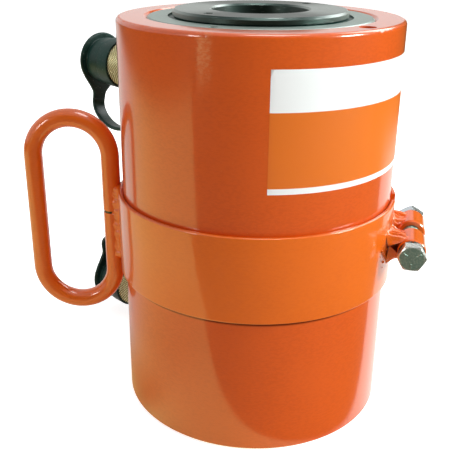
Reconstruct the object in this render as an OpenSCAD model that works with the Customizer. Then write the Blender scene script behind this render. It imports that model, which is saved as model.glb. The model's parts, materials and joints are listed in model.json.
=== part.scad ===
// Hollow plunger cylinder: a double-acting hydraulic cylinder with a hole through its axis,
// a carrying clamp with a loop handle, and two capped hose couplers.
// Millimetres. The origin is the centre of the base, +Z is the way the plunger moves out.
// The couplers stand to the rear left (-X +Y), the handle points to -X.

/* [Cylinder body] */
// Outside diameter of the body
body_d = 158.75; // [150:0.05:168]
// Diameter of the bore that the piston slides in
bore_d = 119; // [112:0.5:122]
// Thickness of the closed base
base_t = 20; // [17:0.5:26]
// Radius of the top outer edge
top_round = 2.4; // [1:0.1:4]
// Chamfer on the foot of the body
foot_chamfer = 1.2; // [0.5:0.1:3]
// Chamfer at the mouth of the gland thread
mouth_chamfer = 1.8; // [0.8:0.1:2.6]
// Diameter of the blind hole in the top face
top_hole_d = 9; // [6:0.5:10]
// Depth of the blind hole in the top face
top_hole_depth = 14; // [8:1:20]
// Direction of the blind hole in the top face, degrees from +X
top_hole_angle = -42; // [-80:1:0]

/* [Base mounting holes] */
// Number of tapped holes in the base
base_hole_count = 4; // [2:1:4]
// Tapping diameter of the base holes
base_hole_d = 10.8; // [8:0.1:12]
// Depth of the base holes
base_hole_depth = 14; // [10:0.5:15]
// Diameter of the circle that the base holes lie on
base_hole_circle = 130; // [120:1:140]

/* [Centre tube] */
// Diameter of the hole through the cylinder
hole_d = 54; // [48:0.5:56]
// Wall of the centre tube
tube_wall = 5.5; // [4:0.1:6.5]

/* [Plunger] */
// Outside diameter of the plunger
plunger_d = 92; // [88:0.5:96]
// Stroke of the plunger
stroke = 127; // [90:1:160]
// Height of the piston
piston_h = 37; // [34:0.5:44]
// Height of the relieved foot of the piston, which faces the lower port
piston_foot_h = 8; // [7:0.5:9]
// Depth of the relief round the piston's foot
piston_foot_step = 4; // [2:0.5:6]

/* [Saddle] */
// Diameter of the saddle's flange
saddle_d = 97; // [94:0.5:104]
// Thickness of the saddle's flange
saddle_flange_t = 3.5; // [3:0.1:6]
// Chamfer round the top of the flange
saddle_chamfer = 1.2; // [0.5:0.1:2]
// Diameter of the threaded stem below the flange
saddle_stem_d = 74; // [68:0.5:78]
// Length of the threaded stem
saddle_stem_h = 24; // [16:0.5:30]
// Radius at which the two spanner holes lie
saddle_pin_circle = 40; // [34:0.5:42]
// Diameter of the spanner holes
saddle_pin_d = 5; // [3:0.1:6]
// Direction of the spanner holes, degrees from +X
saddle_pin_angle = 48; // [0:1:179]

/* [Gland nut] */
// Length of the gland, from its inner end to the top of the body
gland_h = 47; // [45:0.5:56]
// Depth of the gland's thread over the bore
gland_step = 3; // [2:0.1:4]
// Length of the gland's thread
gland_thread_h = 24; // [18:0.5:26]
// How far the gland's face lies below the top of the body
gland_drop = 0.2; // [0.2:0.1:1.5]
// Height of the relieved end of the gland, which faces the upper port
gland_relief_h = 11; // [10:0.5:12]
// Depth of the relief round the gland's end
gland_relief_step = 4; // [2:0.5:6]
// Diameter of the gland's two spanner holes
gland_pin_d = 5; // [3:0.1:6]
// Direction of the gland's spanner holes, degrees from +X
gland_pin_angle = 67; // [0:1:179]

/* [Seals] */
// Radial depth of the rod seal and piston seal grooves
seal_depth = 6; // [4.5:0.1:6.5]
// Height of the rod seal and piston seal grooves
seal_h = 8; // [6:0.5:9]
// Radial depth of the bearing strip grooves
strip_depth = 2.5; // [2:0.1:3]
// Height of the bearing strips
strip_h = 8; // [6:0.5:9]
// Section diameter of the O-rings
o_ring_d = 3.5; // [3:0.1:4]
// Radial depth of the wiper's seat
wiper_depth = 5; // [4:0.1:6]
// Height of the wiper's seat
wiper_h = 6; // [5:0.5:8]

/* [Carrying clamp] */
// Height of the band's lower edge above the base
band_z = 83; // [60:1:110]
// Width of the band
band_w = 49; // [34:0.5:60]
// Thickness of the band
band_t = 3; // [2:0.1:4.5]
// Bevel on the band's inner edges
band_bevel = 0.8; // [0.2:0.1:1.2]
// Gap at the split in the band
split_gap = 11; // [6:0.5:14]
// Direction of the split, degrees from +X
clamp_angle = -10; // [-30:1:30]
// Outside diameter of the barrel lugs
lug_d = 16; // [15:0.1:19]
// Length of one barrel lug
lug_len = 19; // [14:0.5:24]
// Chamfer on the ends of the barrel lugs
lug_chamfer = 0.8; // [0.2:0.1:1.5]
// Clear space between the barrel lugs and the band
lug_standoff = 3.2; // [2:0.1:4]
// Height of the bolt above the middle of the band
lug_rise = 0.5; // [-6:0.5:6]
// Diameter of the clamp bolt
bolt_d = 9.5; // [8:0.1:10]
// Size across the flats of the bolt's head and nut
hex_af = 14.3; // [13.8:0.1:16]
// Height of the bolt's head
bolt_head_h = 6; // [5:0.1:8]
// Height of the nut
nut_h = 8.3; // [6:0.1:10]
// Length of bolt that shows past the nut
bolt_tail = 4; // [1:0.5:10]
// Thickness of the lock washer
washer_t = 2.2; // [1.5:0.1:3]

/* [Handle] */
// Diameter of the handle's rod
rod_d = 11; // [9:0.5:14]
// Distance between the centre lines of the handle's two legs
handle_reach = 46.5; // [40:0.5:70]
// Distance between the centre lines of the handle's two ends
handle_h = 119; // [90:0.5:150]
// Height of the handle's middle above the middle of the band
handle_rise = 4.5; // [-10:0.5:12]
// Gap where the ends of the rod meet
rod_slit = 1; // [0.5:0.1:2]
// Height of this gap above the handle's middle
slit_rise = 2; // [-10:0.5:10]

/* [Couplers] */
// Direction of the couplers, degrees from +X
coupler_angle = 139; // [110:1:150]
// Height of the lower port above the floor of the bore
lower_port_rise = 3.5; // [3.3:0.1:4]
// Height of the upper port above the gland's inner end
upper_port_rise = 5.4; // [4.5:0.1:6.5]
// Diameter of the port thread
port_d = 17; // [15:0.1:18]
// Depth of the port thread
port_depth = 12; // [9:0.5:13]
// Diameter of the oil way through port and coupler
oil_d = 5.8; // [4:0.1:6]
// Size across the flats of the adapter
adapter_af = 24; // [22:0.1:25]
// Length of the adapter's hexagon
adapter_hex_len = 11.5; // [8:0.5:16]
// Diameter of the neck behind the coupler
neck_d = 19; // [17.5:0.5:21]
// Length of the neck
neck_len = 8; // [7:0.5:12]
// Diameter of the knurled shell
shell_d = 30; // [28:0.5:32]
// Length of the knurled shell
shell_len = 25; // [24:0.5:30]
// Diameter of the coupler's nose
nose_d = 25.2; // [24:0.2:26]
// Length of the coupler's nose
nose_len = 21.2; // [20:0.2:26]
// Diameter of the socket in the nose
socket_d = 13; // [12:0.2:14]
// Depth of the socket
socket_depth = 15.5; // [14:0.5:16]
// Diameter of the valve ball
ball_d = 9.5; // [9:0.1:10]
// Diameter of the valve spring's wire
wire_d = 1; // [0.8:0.1:1.2]
// Number of turns in the valve spring
spring_turns = 5; // [4:1:6]

/* [Dust caps] */
// Diameter of the cap's end disc
cap_disc_d = 36.8; // [35:0.2:42]
// Thickness of the cap's end disc
cap_disc_t = 2.5; // [2:0.1:4]
// Diameter of the cap beside its disc
cap_neck_d = 31; // [30.6:0.2:33]
// Diameter of the cap's mouth
cap_mouth_d = 33; // [32.6:0.2:36]
// How far the mouth reaches over the knurled shell
cap_overlap = 2.5; // [1:0.1:5]
// Width of the strap
strap_w = 9.5; // [8:0.5:14]
// Thickness of the strap
strap_t = 2.5; // [2:0.1:3]
// Outside diameter of the strap's ring round the neck
strap_ring_d = 27; // [25:0.5:28]
// Depth of the upper strap's loop below its coupler
upper_strap_drop = 45; // [36:1:60]
// Height of the lower strap's loop above its coupler
lower_strap_rise = 44; // [36:1:60]
// How far the caps and straps lean to the front about their couplers, degrees
cap_lean = 10; // [-30:1:30]

/* [Hidden] */
$fn = 96;

// Clearances
slide_gap = 0.08;
fit_gap = 0.03;
seat_gap = 0.2;
loose_gap = 0.4;
cap_gap = 0.3;
// Extra length of a cutting solid
cut = 1;

// Heights, from the base up
body_r = body_d / 2;
bore_r = bore_d / 2;
piston_z = base_t + seat_gap;
gland_z = piston_z + piston_h + stroke + seat_gap;
body_h = gland_z + gland_h;
gland_top_z = body_h - gland_drop;
gland_thread_z = body_h - gland_thread_h;
saddle_gap = 0.2;
plunger_top_z = body_h + saddle_gap;
saddle_top_z = plunger_top_z + saddle_flange_t;
stem_z = plunger_top_z - saddle_stem_h;
tube_top_gap = 3;
tube_top_z = stem_z - tube_top_gap;

// Radii round the main axis
hole_r = hole_d / 2;
tube_r = hole_r + tube_wall;
plunger_r = plunger_d / 2;
piston_r = bore_r - slide_gap;
plunger_bore_r = tube_r + slide_gap;
stem_r = saddle_stem_d / 2;
gland_r = bore_r + gland_step;
edge = 1;

// Seal and bearing heights
wall_land = 3.5;
tube_groove_z = base_t - wall_land - o_ring_d;
piston_seal_z = piston_z + piston_foot_h + wall_land;
piston_bearing_z = piston_seal_z + seal_h + wall_land;
rod_bearing_z = gland_z + wall_land;
rod_seal_z = rod_bearing_z + strip_h + wall_land;
wiper_z = gland_top_z - wiper_h;
backup_t = 1.6;
gland_groove_h = o_ring_d + backup_t;
gland_groove_z = gland_z + gland_relief_h + (gland_thread_z - gland_z - gland_relief_h - gland_groove_h) / 2;
o_ring_squeeze = 0.4;
gland_groove_depth = o_ring_d - o_ring_squeeze;
tube_groove_depth = o_ring_d - o_ring_squeeze;
seal_lip = 1.4;
seal_root_share = 0.45;

// Holes
base_hole_turn = 45;
gland_pin_share = 0.75;
saddle_pin_share = 0.7;

// Clamp band and lugs
band_in_r = body_r + fit_gap;
band_r = band_in_r + band_t;
band_edge = 0.5;
band_mid_z = band_z + band_w / 2;
lug_r = lug_d / 2;
lug_x = band_r + lug_standoff + lug_r;
lug_z = band_mid_z + lug_rise;
lug_end = split_gap / 2 + lug_len;
lug_bore_d = bolt_d + 2 * loose_gap;
hex_chamfer_slope = 0.6;
lug_weld_low = 3.6;
lug_weld_high = 10.5;
lug_weld_angle = 110;
lug_weld_root_x = sqrt(band_r * band_r - lug_end * lug_end) - edge;
lug_weld_tip = lug_r - edge / 2;
weld_inset = 1.2;

// Handle
rod_r = rod_d / 2;
handle_angle = 180;
inner_leg_x = band_r + fit_gap + rod_r;
handle_bend_r = handle_reach / 2;
handle_mid_z = band_mid_z + handle_rise;
handle_low_z = handle_mid_z - handle_h / 2 + handle_bend_r;
handle_high_z = handle_mid_z + handle_h / 2 - handle_bend_r;
handle_weld_r = 4;
handle_weld_stand = 1.2;
handle_weld_y = rod_r + seat_gap;
handle_weld_x = band_r + handle_weld_stand;

// Coupler stations along its axis, from the main axis out
spot_depth = 1.2;
spot_margin = 1;
spot_d = adapter_af / cos(30) + 2 * spot_margin;
face_s = body_r - spot_depth;
port_s = face_s - port_depth;
hex_s = face_s + adapter_hex_len;
neck_s = hex_s + neck_len;
stub_len = 9;
chamber_s = neck_s + stub_len;
shell_s = neck_s + shell_len;
nose_s = shell_s + nose_len;
socket_s = nose_s - socket_depth;
chamber_wall = 2;
chamber_d = port_d - 2 * chamber_wall;
ball_r = ball_d / 2;
throat_d = oil_d;
throat_len = 2.5;
cone_s = socket_s - throat_len - (chamber_d - throat_d) / 2;
ball_s = cone_s + chamber_d / 2 - sqrt(2) * (ball_r + fit_gap);
coil_inset = 1.1;
coil_r = ball_r - coil_inset;
wire_r = wire_d / 2;
spring_start = chamber_s + wire_r;
spring_end = ball_s - sqrt((ball_r + wire_r) * (ball_r + wire_r) - coil_r * coil_r) - fit_gap;
spring_steps = 14;
spring_sides = 6;
probe_ring_d = 2.4;
probe_groove_r = socket_d / 2 + probe_ring_d - o_ring_squeeze;
probe_ring_s = socket_s + socket_depth / 2;
lower_port_z = base_t + lower_port_rise;
upper_port_z = gland_z + upper_port_rise;

// Dust caps
cap_floor_s = nose_s + seat_gap;
cap_end_s = cap_floor_s + cap_disc_t;
cap_mouth_s = shell_s - cap_overlap;
cap_step_s = (cap_mouth_s + cap_floor_s) / 2;
cap_step_len = 3;
cap_lip = 1;
tab_len = 8.5;
tab_angle = 31;
tab_end = cap_disc_d / 2 + tab_len;
ring_len = 6;
ring_s = hex_s + neck_len / 2;
strap_steps = 24;
strap_s = cap_end_s - cap_disc_t / 2;
strap_bulge = 3;
strap_turn = 4 / 3;
strap_shoulder = 0.74;

// A rectangle in the plane of a revolved section, between two radii and two heights
module section(r0, r1, z0, z1) {
  translate([r0, z0])
    square([r1 - r0, z1 - z0]);
}

// Cup section between two radii; the lips point up, or down where lips is -1
module cup_section(r0, r1, z0, h, lips = 1) {
  mid_r = (r0 + r1) / 2;
  base_z = lips > 0 ? z0 : z0 + h;
  rim_z = lips > 0 ? z0 + h : z0;
  root_z = base_z + lips * h * seal_root_share;
  polygon([
    [r0, base_z], [r1, base_z], [r1, rim_z], [r1 - seal_lip, rim_z],
    [mid_r, root_z], [r0 + seal_lip, rim_z], [r0, rim_z]
  ]);
}

// Frame of a coupler: X points out along its axis, Z up, at the port's height
module at_port(z) {
  translate([0, 0, z])
    rotate([0, 0, coupler_angle])
      children();
}

// The same frame turned about the coupler's axis, so that a strap on the given side leans to the front
module at_leaning_port(z, side) {
  at_port(z)
    rotate([-side * cap_lean, 0, 0])
      children();
}

// A solid of revolution about the coupler's axis, drawn as radius and station
module turned_on_port(z) {
  at_port(z)
    rotate([0, 90, 0])
      rotate_extrude()
        children();
}

// A round solid along the coupler's axis between two stations
module port_cylinder(z, d, s0, s1, sides = 0) {
  at_port(z)
    translate([s0, 0, 0])
      rotate([0, 90, 0])
        cylinder(d = d, h = s1 - s0, $fn = sides > 0 ? sides : $fn);
}

// Frame of the clamp: X points out at the split, Y along the bolt
module at_clamp() {
  rotate([0, 0, clamp_angle])
    children();
}

// A round solid along the clamp bolt between two stations
module bolt_cylinder(d, y0, y1, sides = 0, turn = 0) {
  translate([lug_x, y0, lug_z])
    rotate([-90, turn, 0])
      cylinder(d = d, h = y1 - y0, $fn = sides > 0 ? sides : $fn);
}

// A hexagon along the clamp bolt with its corners chamfered at the ends that are asked for
module bolt_hexagon(y0, y1, turn, chamfer_start, chamfer_end) {
  corner_d = hex_af / cos(30);
  slope = (corner_d - hex_af) / 2;
  intersection() {
    bolt_cylinder(corner_d, y0, y1, sides = 6, turn = turn);
    translate([lug_x, y0, lug_z])
      rotate([-90, 0, 0])
        rotate_extrude()
          polygon([
            [0, 0], [corner_d / 2 - (chamfer_start ? slope : 0), 0],
            [corner_d / 2, chamfer_start ? slope * hex_chamfer_slope : 0],
            [corner_d / 2, y1 - y0 - (chamfer_end ? slope * hex_chamfer_slope : 0)],
            [corner_d / 2 - (chamfer_end ? slope : 0), y1 - y0], [0, y1 - y0]
          ]);
  }
}

module cylinder_body() {
  color("orangered")
    difference() {
      rotate_extrude()
        difference() {
          union() {
            polygon([
              [tube_r + fit_gap, 0], [body_r - foot_chamfer, 0], [body_r, foot_chamfer],
              [body_r, body_h - top_round], [body_r - top_round, body_h],
              [gland_r + mouth_chamfer, body_h], [gland_r, body_h - mouth_chamfer], [gland_r, gland_thread_z],
              [bore_r, gland_thread_z], [bore_r, base_t], [tube_r + fit_gap, base_t]
            ]);
            translate([body_r - top_round, body_h - top_round])
              circle(r = top_round);
          }
          section(tube_r, tube_r + tube_groove_depth, tube_groove_z, tube_groove_z + o_ring_d);
        }
      for (z = [lower_port_z, upper_port_z]) {
        port_cylinder(z, port_d + 2 * fit_gap, port_s, body_r + cut);
        port_cylinder(z, oil_d, bore_r - cut, port_s + cut);
        port_cylinder(z, spot_d, face_s, body_r + cut);
      }
      for (i = [0 : base_hole_count - 1])
        rotate([0, 0, coupler_angle + base_hole_turn + i * 360 / base_hole_count])
          translate([base_hole_circle / 2, 0, -cut])
            cylinder(d = base_hole_d, h = base_hole_depth + cut);
      rotate([0, 0, top_hole_angle])
        translate([(body_r + gland_r) / 2, 0, body_h - top_hole_depth])
          cylinder(d = top_hole_d, h = top_hole_depth + cut);
    }
}

module center_tube() {
  color("silver")
    rotate_extrude()
      polygon([
        [hole_r, 0], [tube_r, 0], [tube_r, tube_top_z - 2 * edge],
        [tube_r - edge, tube_top_z], [hole_r + edge, tube_top_z], [hole_r, tube_top_z - edge]
      ]);
}

module tube_o_ring() {
  color("black")
    rotate_extrude()
      translate([tube_r + (tube_groove_depth + fit_gap) / 2, tube_groove_z + o_ring_d / 2])
        circle(d = tube_groove_depth - fit_gap);
}

module gland_nut() {
  land_r = bore_r - fit_gap;
  relief_r = bore_r - gland_relief_step;
  in_r = plunger_r + slide_gap;
  color("darkslategray")
    difference() {
      rotate_extrude()
        difference() {
          polygon([
            [in_r, gland_z], [relief_r, gland_z], [relief_r, gland_z + gland_relief_h],
            [land_r, gland_z + gland_relief_h], [land_r, gland_thread_z + fit_gap],
            [gland_r - fit_gap, gland_thread_z + fit_gap], [gland_r - fit_gap, gland_top_z - edge],
            [gland_r - edge, gland_top_z], [in_r, gland_top_z]
          ]);
          section(in_r - cut, in_r + strip_depth, rod_bearing_z, rod_bearing_z + strip_h);
          section(in_r - cut, in_r + seal_depth, rod_seal_z, rod_seal_z + seal_h);
          section(in_r - cut, in_r + wiper_depth, wiper_z, gland_top_z + cut);
          section(land_r - gland_groove_depth, land_r + cut, gland_groove_z, gland_groove_z + gland_groove_h);
        }
      for (turn = [0, 180])
        rotate([0, 0, gland_pin_angle + turn])
          translate([gland_r - gland_pin_d * gland_pin_share, 0, gland_top_z - gland_pin_d])
            cylinder(d = gland_pin_d, h = gland_pin_d + cut);
    }
}

module gland_o_ring() {
  inside = bore_r - fit_gap - gland_groove_depth;
  section_d = gland_groove_depth - fit_gap;
  color("black")
    rotate_extrude()
      translate([inside + gland_groove_depth / 2, gland_groove_z + o_ring_d / 2])
        circle(d = section_d);
}

module gland_backup_ring() {
  inside = bore_r - fit_gap - gland_groove_depth;
  start = gland_groove_z + o_ring_d;
  color("ivory")
    rotate_extrude()
      section(inside + fit_gap, bore_r - fit_gap, start + fit_gap, start + backup_t - fit_gap);
}

module rod_bearing() {
  out_r = plunger_r + slide_gap + strip_depth - fit_gap;
  top_z = rod_bearing_z + strip_h - fit_gap;
  color("tan")
    rotate_extrude()
      section(plunger_r + slide_gap / 2, out_r, rod_bearing_z + fit_gap, top_z);
}

module rod_seal() {
  in_r = plunger_r + slide_gap / 2;
  out_r = plunger_r + slide_gap + seal_depth - fit_gap;
  color("teal")
    rotate_extrude()
      cup_section(in_r, out_r, rod_seal_z + fit_gap, seal_h - 2 * fit_gap, lips = -1);
}

module rod_wiper() {
  in_r = plunger_r + slide_gap / 2;
  out_r = plunger_r + slide_gap + wiper_depth - fit_gap;
  low_z = wiper_z + fit_gap;
  color("black")
    rotate_extrude()
      polygon([
        [in_r + seal_lip, low_z], [out_r, low_z], [out_r, gland_top_z - edge],
        [in_r + 2 * seal_lip, gland_top_z - edge], [in_r + seal_lip, gland_top_z], [in_r, gland_top_z],
        [in_r + seal_lip, gland_top_z - 2 * edge]
      ]);
}

module plunger() {
  piston_top_z = piston_z + piston_h;
  foot_r = piston_r - piston_foot_step;
  color("lightgray")
    rotate_extrude()
      difference() {
        polygon([
          [plunger_bore_r, piston_z], [foot_r, piston_z], [foot_r, piston_z + piston_foot_h],
          [piston_r, piston_z + piston_foot_h], [piston_r, piston_top_z - edge],
          [piston_r - edge, piston_top_z], [plunger_r, piston_top_z], [plunger_r, plunger_top_z - edge],
          [plunger_r - edge, plunger_top_z], [stem_r + fit_gap, plunger_top_z],
          [stem_r + fit_gap, stem_z - edge], [plunger_bore_r, stem_z - edge]
        ]);
        section(piston_r - seal_depth, piston_r + cut, piston_seal_z, piston_seal_z + seal_h);
        section(piston_r - strip_depth, piston_r + cut, piston_bearing_z, piston_bearing_z + strip_h);
        section(plunger_bore_r - cut, plunger_bore_r + seal_depth, piston_seal_z, piston_seal_z + seal_h);
      }
}

module saddle() {
  pin_depth = saddle_flange_t * saddle_pin_share;
  color("darkslategray")
    difference() {
      rotate_extrude()
        polygon([
          [hole_r, stem_z], [stem_r, stem_z], [stem_r, plunger_top_z], [saddle_d / 2, plunger_top_z],
          [saddle_d / 2, saddle_top_z - saddle_chamfer], [saddle_d / 2 - saddle_chamfer, saddle_top_z],
          [hole_r + edge, saddle_top_z], [hole_r, saddle_top_z - edge]
        ]);
      for (turn = [0, 180])
        rotate([0, 0, saddle_pin_angle + turn])
          translate([saddle_pin_circle, 0, saddle_top_z - pin_depth])
            cylinder(d = saddle_pin_d, h = pin_depth + cut);
    }
}

module piston_seal() {
  out_r = bore_r - slide_gap / 2;
  in_r = piston_r - seal_depth + fit_gap;
  color("teal")
    rotate_extrude()
      cup_section(in_r, out_r, piston_seal_z + fit_gap, seal_h - 2 * fit_gap, lips = -1);
}

module piston_bearing() {
  in_r = piston_r - strip_depth + fit_gap;
  top_z = piston_bearing_z + strip_h - fit_gap;
  color("tan")
    rotate_extrude()
      section(in_r, bore_r - slide_gap / 2, piston_bearing_z + fit_gap, top_z);
}

module tube_seal() {
  out_r = plunger_bore_r + seal_depth - fit_gap;
  color("teal")
    rotate_extrude()
      cup_section(tube_r + slide_gap / 2, out_r, piston_seal_z + fit_gap, seal_h - 2 * fit_gap, lips = -1);
}

module clamp_band() {
  color("orangered")
    difference() {
      rotate_extrude()
        polygon([
          [band_in_r + band_bevel, band_z], [band_r - band_edge, band_z], [band_r, band_z + band_edge],
          [band_r, band_z + band_w - band_edge], [band_r - band_edge, band_z + band_w],
          [band_in_r + band_bevel, band_z + band_w], [band_in_r, band_z + band_w - band_bevel],
          [band_in_r, band_z + band_bevel]
        ]);
      at_clamp()
        translate([0, -split_gap / 2, band_z - cut])
          cube([band_r + cut, split_gap, band_w + 2 * cut]);
    }
}

// One barrel lug from its station along the bolt
module barrel_lug(y0) {
  lug_bore_r = lug_bore_d / 2;
  color("orangered")
    at_clamp()
      translate([lug_x, y0, lug_z])
        rotate([-90, 0, 0])
          rotate_extrude()
            polygon([
              [lug_bore_r, 0], [lug_r - lug_chamfer, 0], [lug_r, lug_chamfer],
              [lug_r, lug_len - lug_chamfer], [lug_r - lug_chamfer, lug_len], [lug_bore_r, lug_len]
            ]);
}

module front_clamp_lug() {
  barrel_lug(-lug_end);
}

module rear_clamp_lug() {
  barrel_lug(split_gap / 2);
}

module lug_welds() {
  color("orangered")
    at_clamp()
      for (side = [-1, 1], level = [-1, 1]) {
        start = side > 0 ? split_gap / 2 + weld_inset : -lug_end + weld_inset;
        difference() {
          translate([0, start, lug_z])
            rotate([-90, 0, 0])
              linear_extrude(lug_len - 2 * weld_inset)
                polygon([
                  [lug_weld_root_x, level * lug_weld_low], [lug_weld_root_x, level * lug_weld_high],
                  [band_r, level * lug_weld_high],
                  [lug_x + lug_weld_tip * cos(lug_weld_angle), level * lug_weld_tip * sin(lug_weld_angle)],
                  [lug_x, level * lug_weld_low]
                ]);
          translate([0, 0, band_z])
            cylinder(r = band_r + fit_gap, h = band_w);
          bolt_cylinder(lug_d + 2 * fit_gap, -lug_end - cut, lug_end + cut);
        }
      }
}

module clamp_bolt() {
  head_y = -lug_end - washer_t;
  color("lightsteelblue")
    at_clamp()
      union() {
        bolt_hexagon(head_y - bolt_head_h, head_y, 0, true, false);
        bolt_cylinder(bolt_d, head_y - edge, lug_end + nut_h + bolt_tail - edge);
        translate([lug_x, lug_end + nut_h + bolt_tail - edge, lug_z])
          rotate([-90, 0, 0])
            cylinder(d1 = bolt_d, d2 = bolt_d - 2 * edge, h = edge);
      }
}

module clamp_washer() {
  color("dimgray")
    at_clamp()
      difference() {
        bolt_cylinder(lug_d - edge, -lug_end - washer_t + fit_gap, -lug_end - fit_gap);
        bolt_cylinder(bolt_d + loose_gap, -lug_end - washer_t - cut, -lug_end + cut);
        translate([lug_x - edge / 2, -lug_end - washer_t - cut, lug_z])
          cube([edge, washer_t + 2 * cut, lug_d]);
      }
}

module clamp_nut() {
  color("lightsteelblue")
    at_clamp()
      difference() {
        bolt_hexagon(lug_end + fit_gap, lug_end + nut_h, 30, true, true);
        bolt_cylinder(bolt_d + 2 * fit_gap, lug_end - cut, lug_end + nut_h + cut);
      }
}

module handle_loop() {
  mid_x = inner_leg_x + handle_bend_r;
  color("orangered")
    rotate([0, 0, handle_angle])
      difference() {
        union() {
          for (x = [inner_leg_x, inner_leg_x + handle_reach])
            translate([x, 0, handle_low_z])
              cylinder(r = rod_r, h = handle_high_z - handle_low_z);
          for (end = [[handle_high_z, 0], [handle_low_z, 180]])
            translate([mid_x, 0, end[0]])
              rotate([90, end[1], 0])
                rotate_extrude(angle = 180)
                  translate([handle_bend_r, 0])
                    circle(r = rod_r);
        }
        translate([inner_leg_x - rod_d, -rod_d, handle_mid_z + slit_rise - rod_slit / 2])
          cube([2 * rod_d, 2 * rod_d, rod_slit]);
      }
}

module handle_welds() {
  color("orangered")
    rotate([0, 0, handle_angle])
      for (side = [-1, 1])
        difference() {
          translate([handle_weld_x, side * handle_weld_y, band_z + weld_inset])
            cylinder(r = handle_weld_r, h = band_w - 2 * weld_inset);
          translate([0, 0, band_z])
            cylinder(r = band_r + fit_gap, h = band_w);
          translate([inner_leg_x, 0, band_z])
            cylinder(r = rod_r + fit_gap, h = band_w);
        }
}

// Hexagonal adapter that screws into a port and carries the coupler
module coupler_adapter(z) {
  color("goldenrod")
    difference() {
      union() {
        port_cylinder(z, port_d, port_s + seat_gap, face_s + cut);
        intersection() {
          port_cylinder(z, adapter_af / cos(30), face_s, hex_s, sides = 6);
          turned_on_port(z)
            polygon([
              [0, face_s], [adapter_af / 2, face_s], [adapter_af / cos(30) / 2, face_s + edge],
              [adapter_af / cos(30) / 2, hex_s - edge], [adapter_af / 2, hex_s], [0, hex_s]
            ]);
        }
        port_cylinder(z, neck_d, hex_s - cut, neck_s - fit_gap);
        port_cylinder(z, port_d, neck_s - cut, chamber_s - fit_gap);
      }
      port_cylinder(z, oil_d, port_s, chamber_s + cut);
    }
}

// Turned shell of a coupler half, with its valve chamber, throat and hose socket
module coupler_shell(z) {
  out_r = shell_d / 2;
  nose_r = nose_d / 2;
  color("goldenrod")
    turned_on_port(z)
      difference() {
        polygon([
          [port_d / 2 + fit_gap, neck_s], [out_r - edge, neck_s], [out_r, neck_s + edge],
          [out_r, shell_s - edge], [out_r - edge, shell_s], [nose_r, shell_s], [nose_r, nose_s - edge],
          [nose_r - edge, nose_s], [socket_d / 2 + edge, nose_s], [socket_d / 2, nose_s - edge],
          [socket_d / 2, socket_s], [throat_d / 2, socket_s], [throat_d / 2, socket_s - throat_len],
          [chamber_d / 2, cone_s], [chamber_d / 2, chamber_s], [port_d / 2 + fit_gap, chamber_s]
        ]);
        section(socket_d / 2 - cut, probe_groove_r, probe_ring_s, probe_ring_s + probe_ring_d);
      }
}

// O-ring that seals the hose's probe in the socket
module coupler_o_ring(z) {
  color("black")
    turned_on_port(z)
      translate([probe_groove_r - probe_ring_d / 2 - fit_gap, probe_ring_s + probe_ring_d / 2])
        circle(d = probe_ring_d - 2 * fit_gap);
}

// Ball that closes the coupler when no hose is on it
module valve_ball(z) {
  color("silver")
    at_port(z)
      translate([ball_s, 0, 0])
        sphere(d = ball_d);
}

// A point on the spring's wire: step counts along the helix, side goes round the wire
function spring_point(step, side) =
  let (
    share = step / (spring_turns * spring_steps),
    turn = 360 * step / spring_steps,
    around = 360 * side / spring_sides,
    reach = coil_r + wire_r * cos(around),
    station = spring_start + share * (spring_end - spring_start) + wire_r * sin(around)
  )
  [station, reach * cos(turn), reach * sin(turn)];

// Coil spring behind the valve ball
module valve_spring(z) {
  last = spring_turns * spring_steps;
  points = [for (step = [0 : last], side = [0 : spring_sides - 1]) spring_point(step, side)];
  walls = [
    for (step = [0 : last - 1], side = [0 : spring_sides - 1])
      let (next = (side + 1) % spring_sides, low = step * spring_sides, high = low + spring_sides)
        [low + side, high + side, high + next, low + next]
  ];
  first_end = [for (side = [0 : spring_sides - 1]) side];
  last_end = [for (side = [spring_sides - 1 : -1 : 0]) last * spring_sides + side];
  color("silver")
    at_port(z)
      polyhedron(points, concat(walls, [first_end, last_end]), convexity = 6);
}

// Moulded cap over a coupler's nose, with the tab that its strap grows from
module dust_cap(z, side) {
  mouth_r = cap_mouth_d / 2;
  neck_r = cap_neck_d / 2;
  nose_r = nose_d / 2 + cap_gap;
  shell_r = shell_d / 2 + cap_gap;
  disc_r = cap_disc_d / 2;
  round_r = cap_disc_t / 2;
  color("darkslategray")
    union() {
      turned_on_port(z)
        union() {
          polygon([
            [0, cap_floor_s], [nose_r, cap_floor_s], [nose_r, shell_s + cap_gap],
            [shell_r, shell_s + cap_gap], [shell_r, cap_mouth_s],
            [mouth_r - cap_lip, cap_mouth_s], [mouth_r, cap_mouth_s + cap_lip],
            [mouth_r - cap_lip / 4, cap_step_s - cap_step_len], [neck_r, cap_step_s],
            [neck_r, cap_floor_s], [disc_r - round_r, cap_floor_s],
            [disc_r - round_r, cap_end_s], [0, cap_end_s]
          ]);
          translate([disc_r - round_r, cap_floor_s + round_r])
            circle(r = round_r);
        }
      at_leaning_port(z, side)
        translate([cap_floor_s, 0, 0])
          rotate([90, 0, 90])
            linear_extrude(cap_disc_t)
              polygon([
                [-disc_r * cos(tab_angle), side * disc_r * sin(tab_angle)],
                [disc_r * cos(tab_angle), side * disc_r * sin(tab_angle)],
                [strap_w / 2, side * tab_end], [-strap_w / 2, side * tab_end]
              ]);
    }
}

// Cubic curve through the strap's loop; share runs from inside the cap's tab to the neck ring
function strap_point(share, side, drop, bulge) =
  let (
    seat = [strap_s, side * tab_end],
    b = [strap_s + bulge, side * drop * strap_turn * strap_shoulder],
    a = seat - strap_t * (b - seat) / norm(b - seat),
    c = [ring_s, side * drop * strap_turn],
    d = [ring_s, side * (strap_ring_d / 2 - edge)],
    rest = 1 - share
  )
  pow(rest, 3) * a + 3 * pow(rest, 2) * share * b + 3 * rest * pow(share, 2) * c + pow(share, 3) * d;

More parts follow.
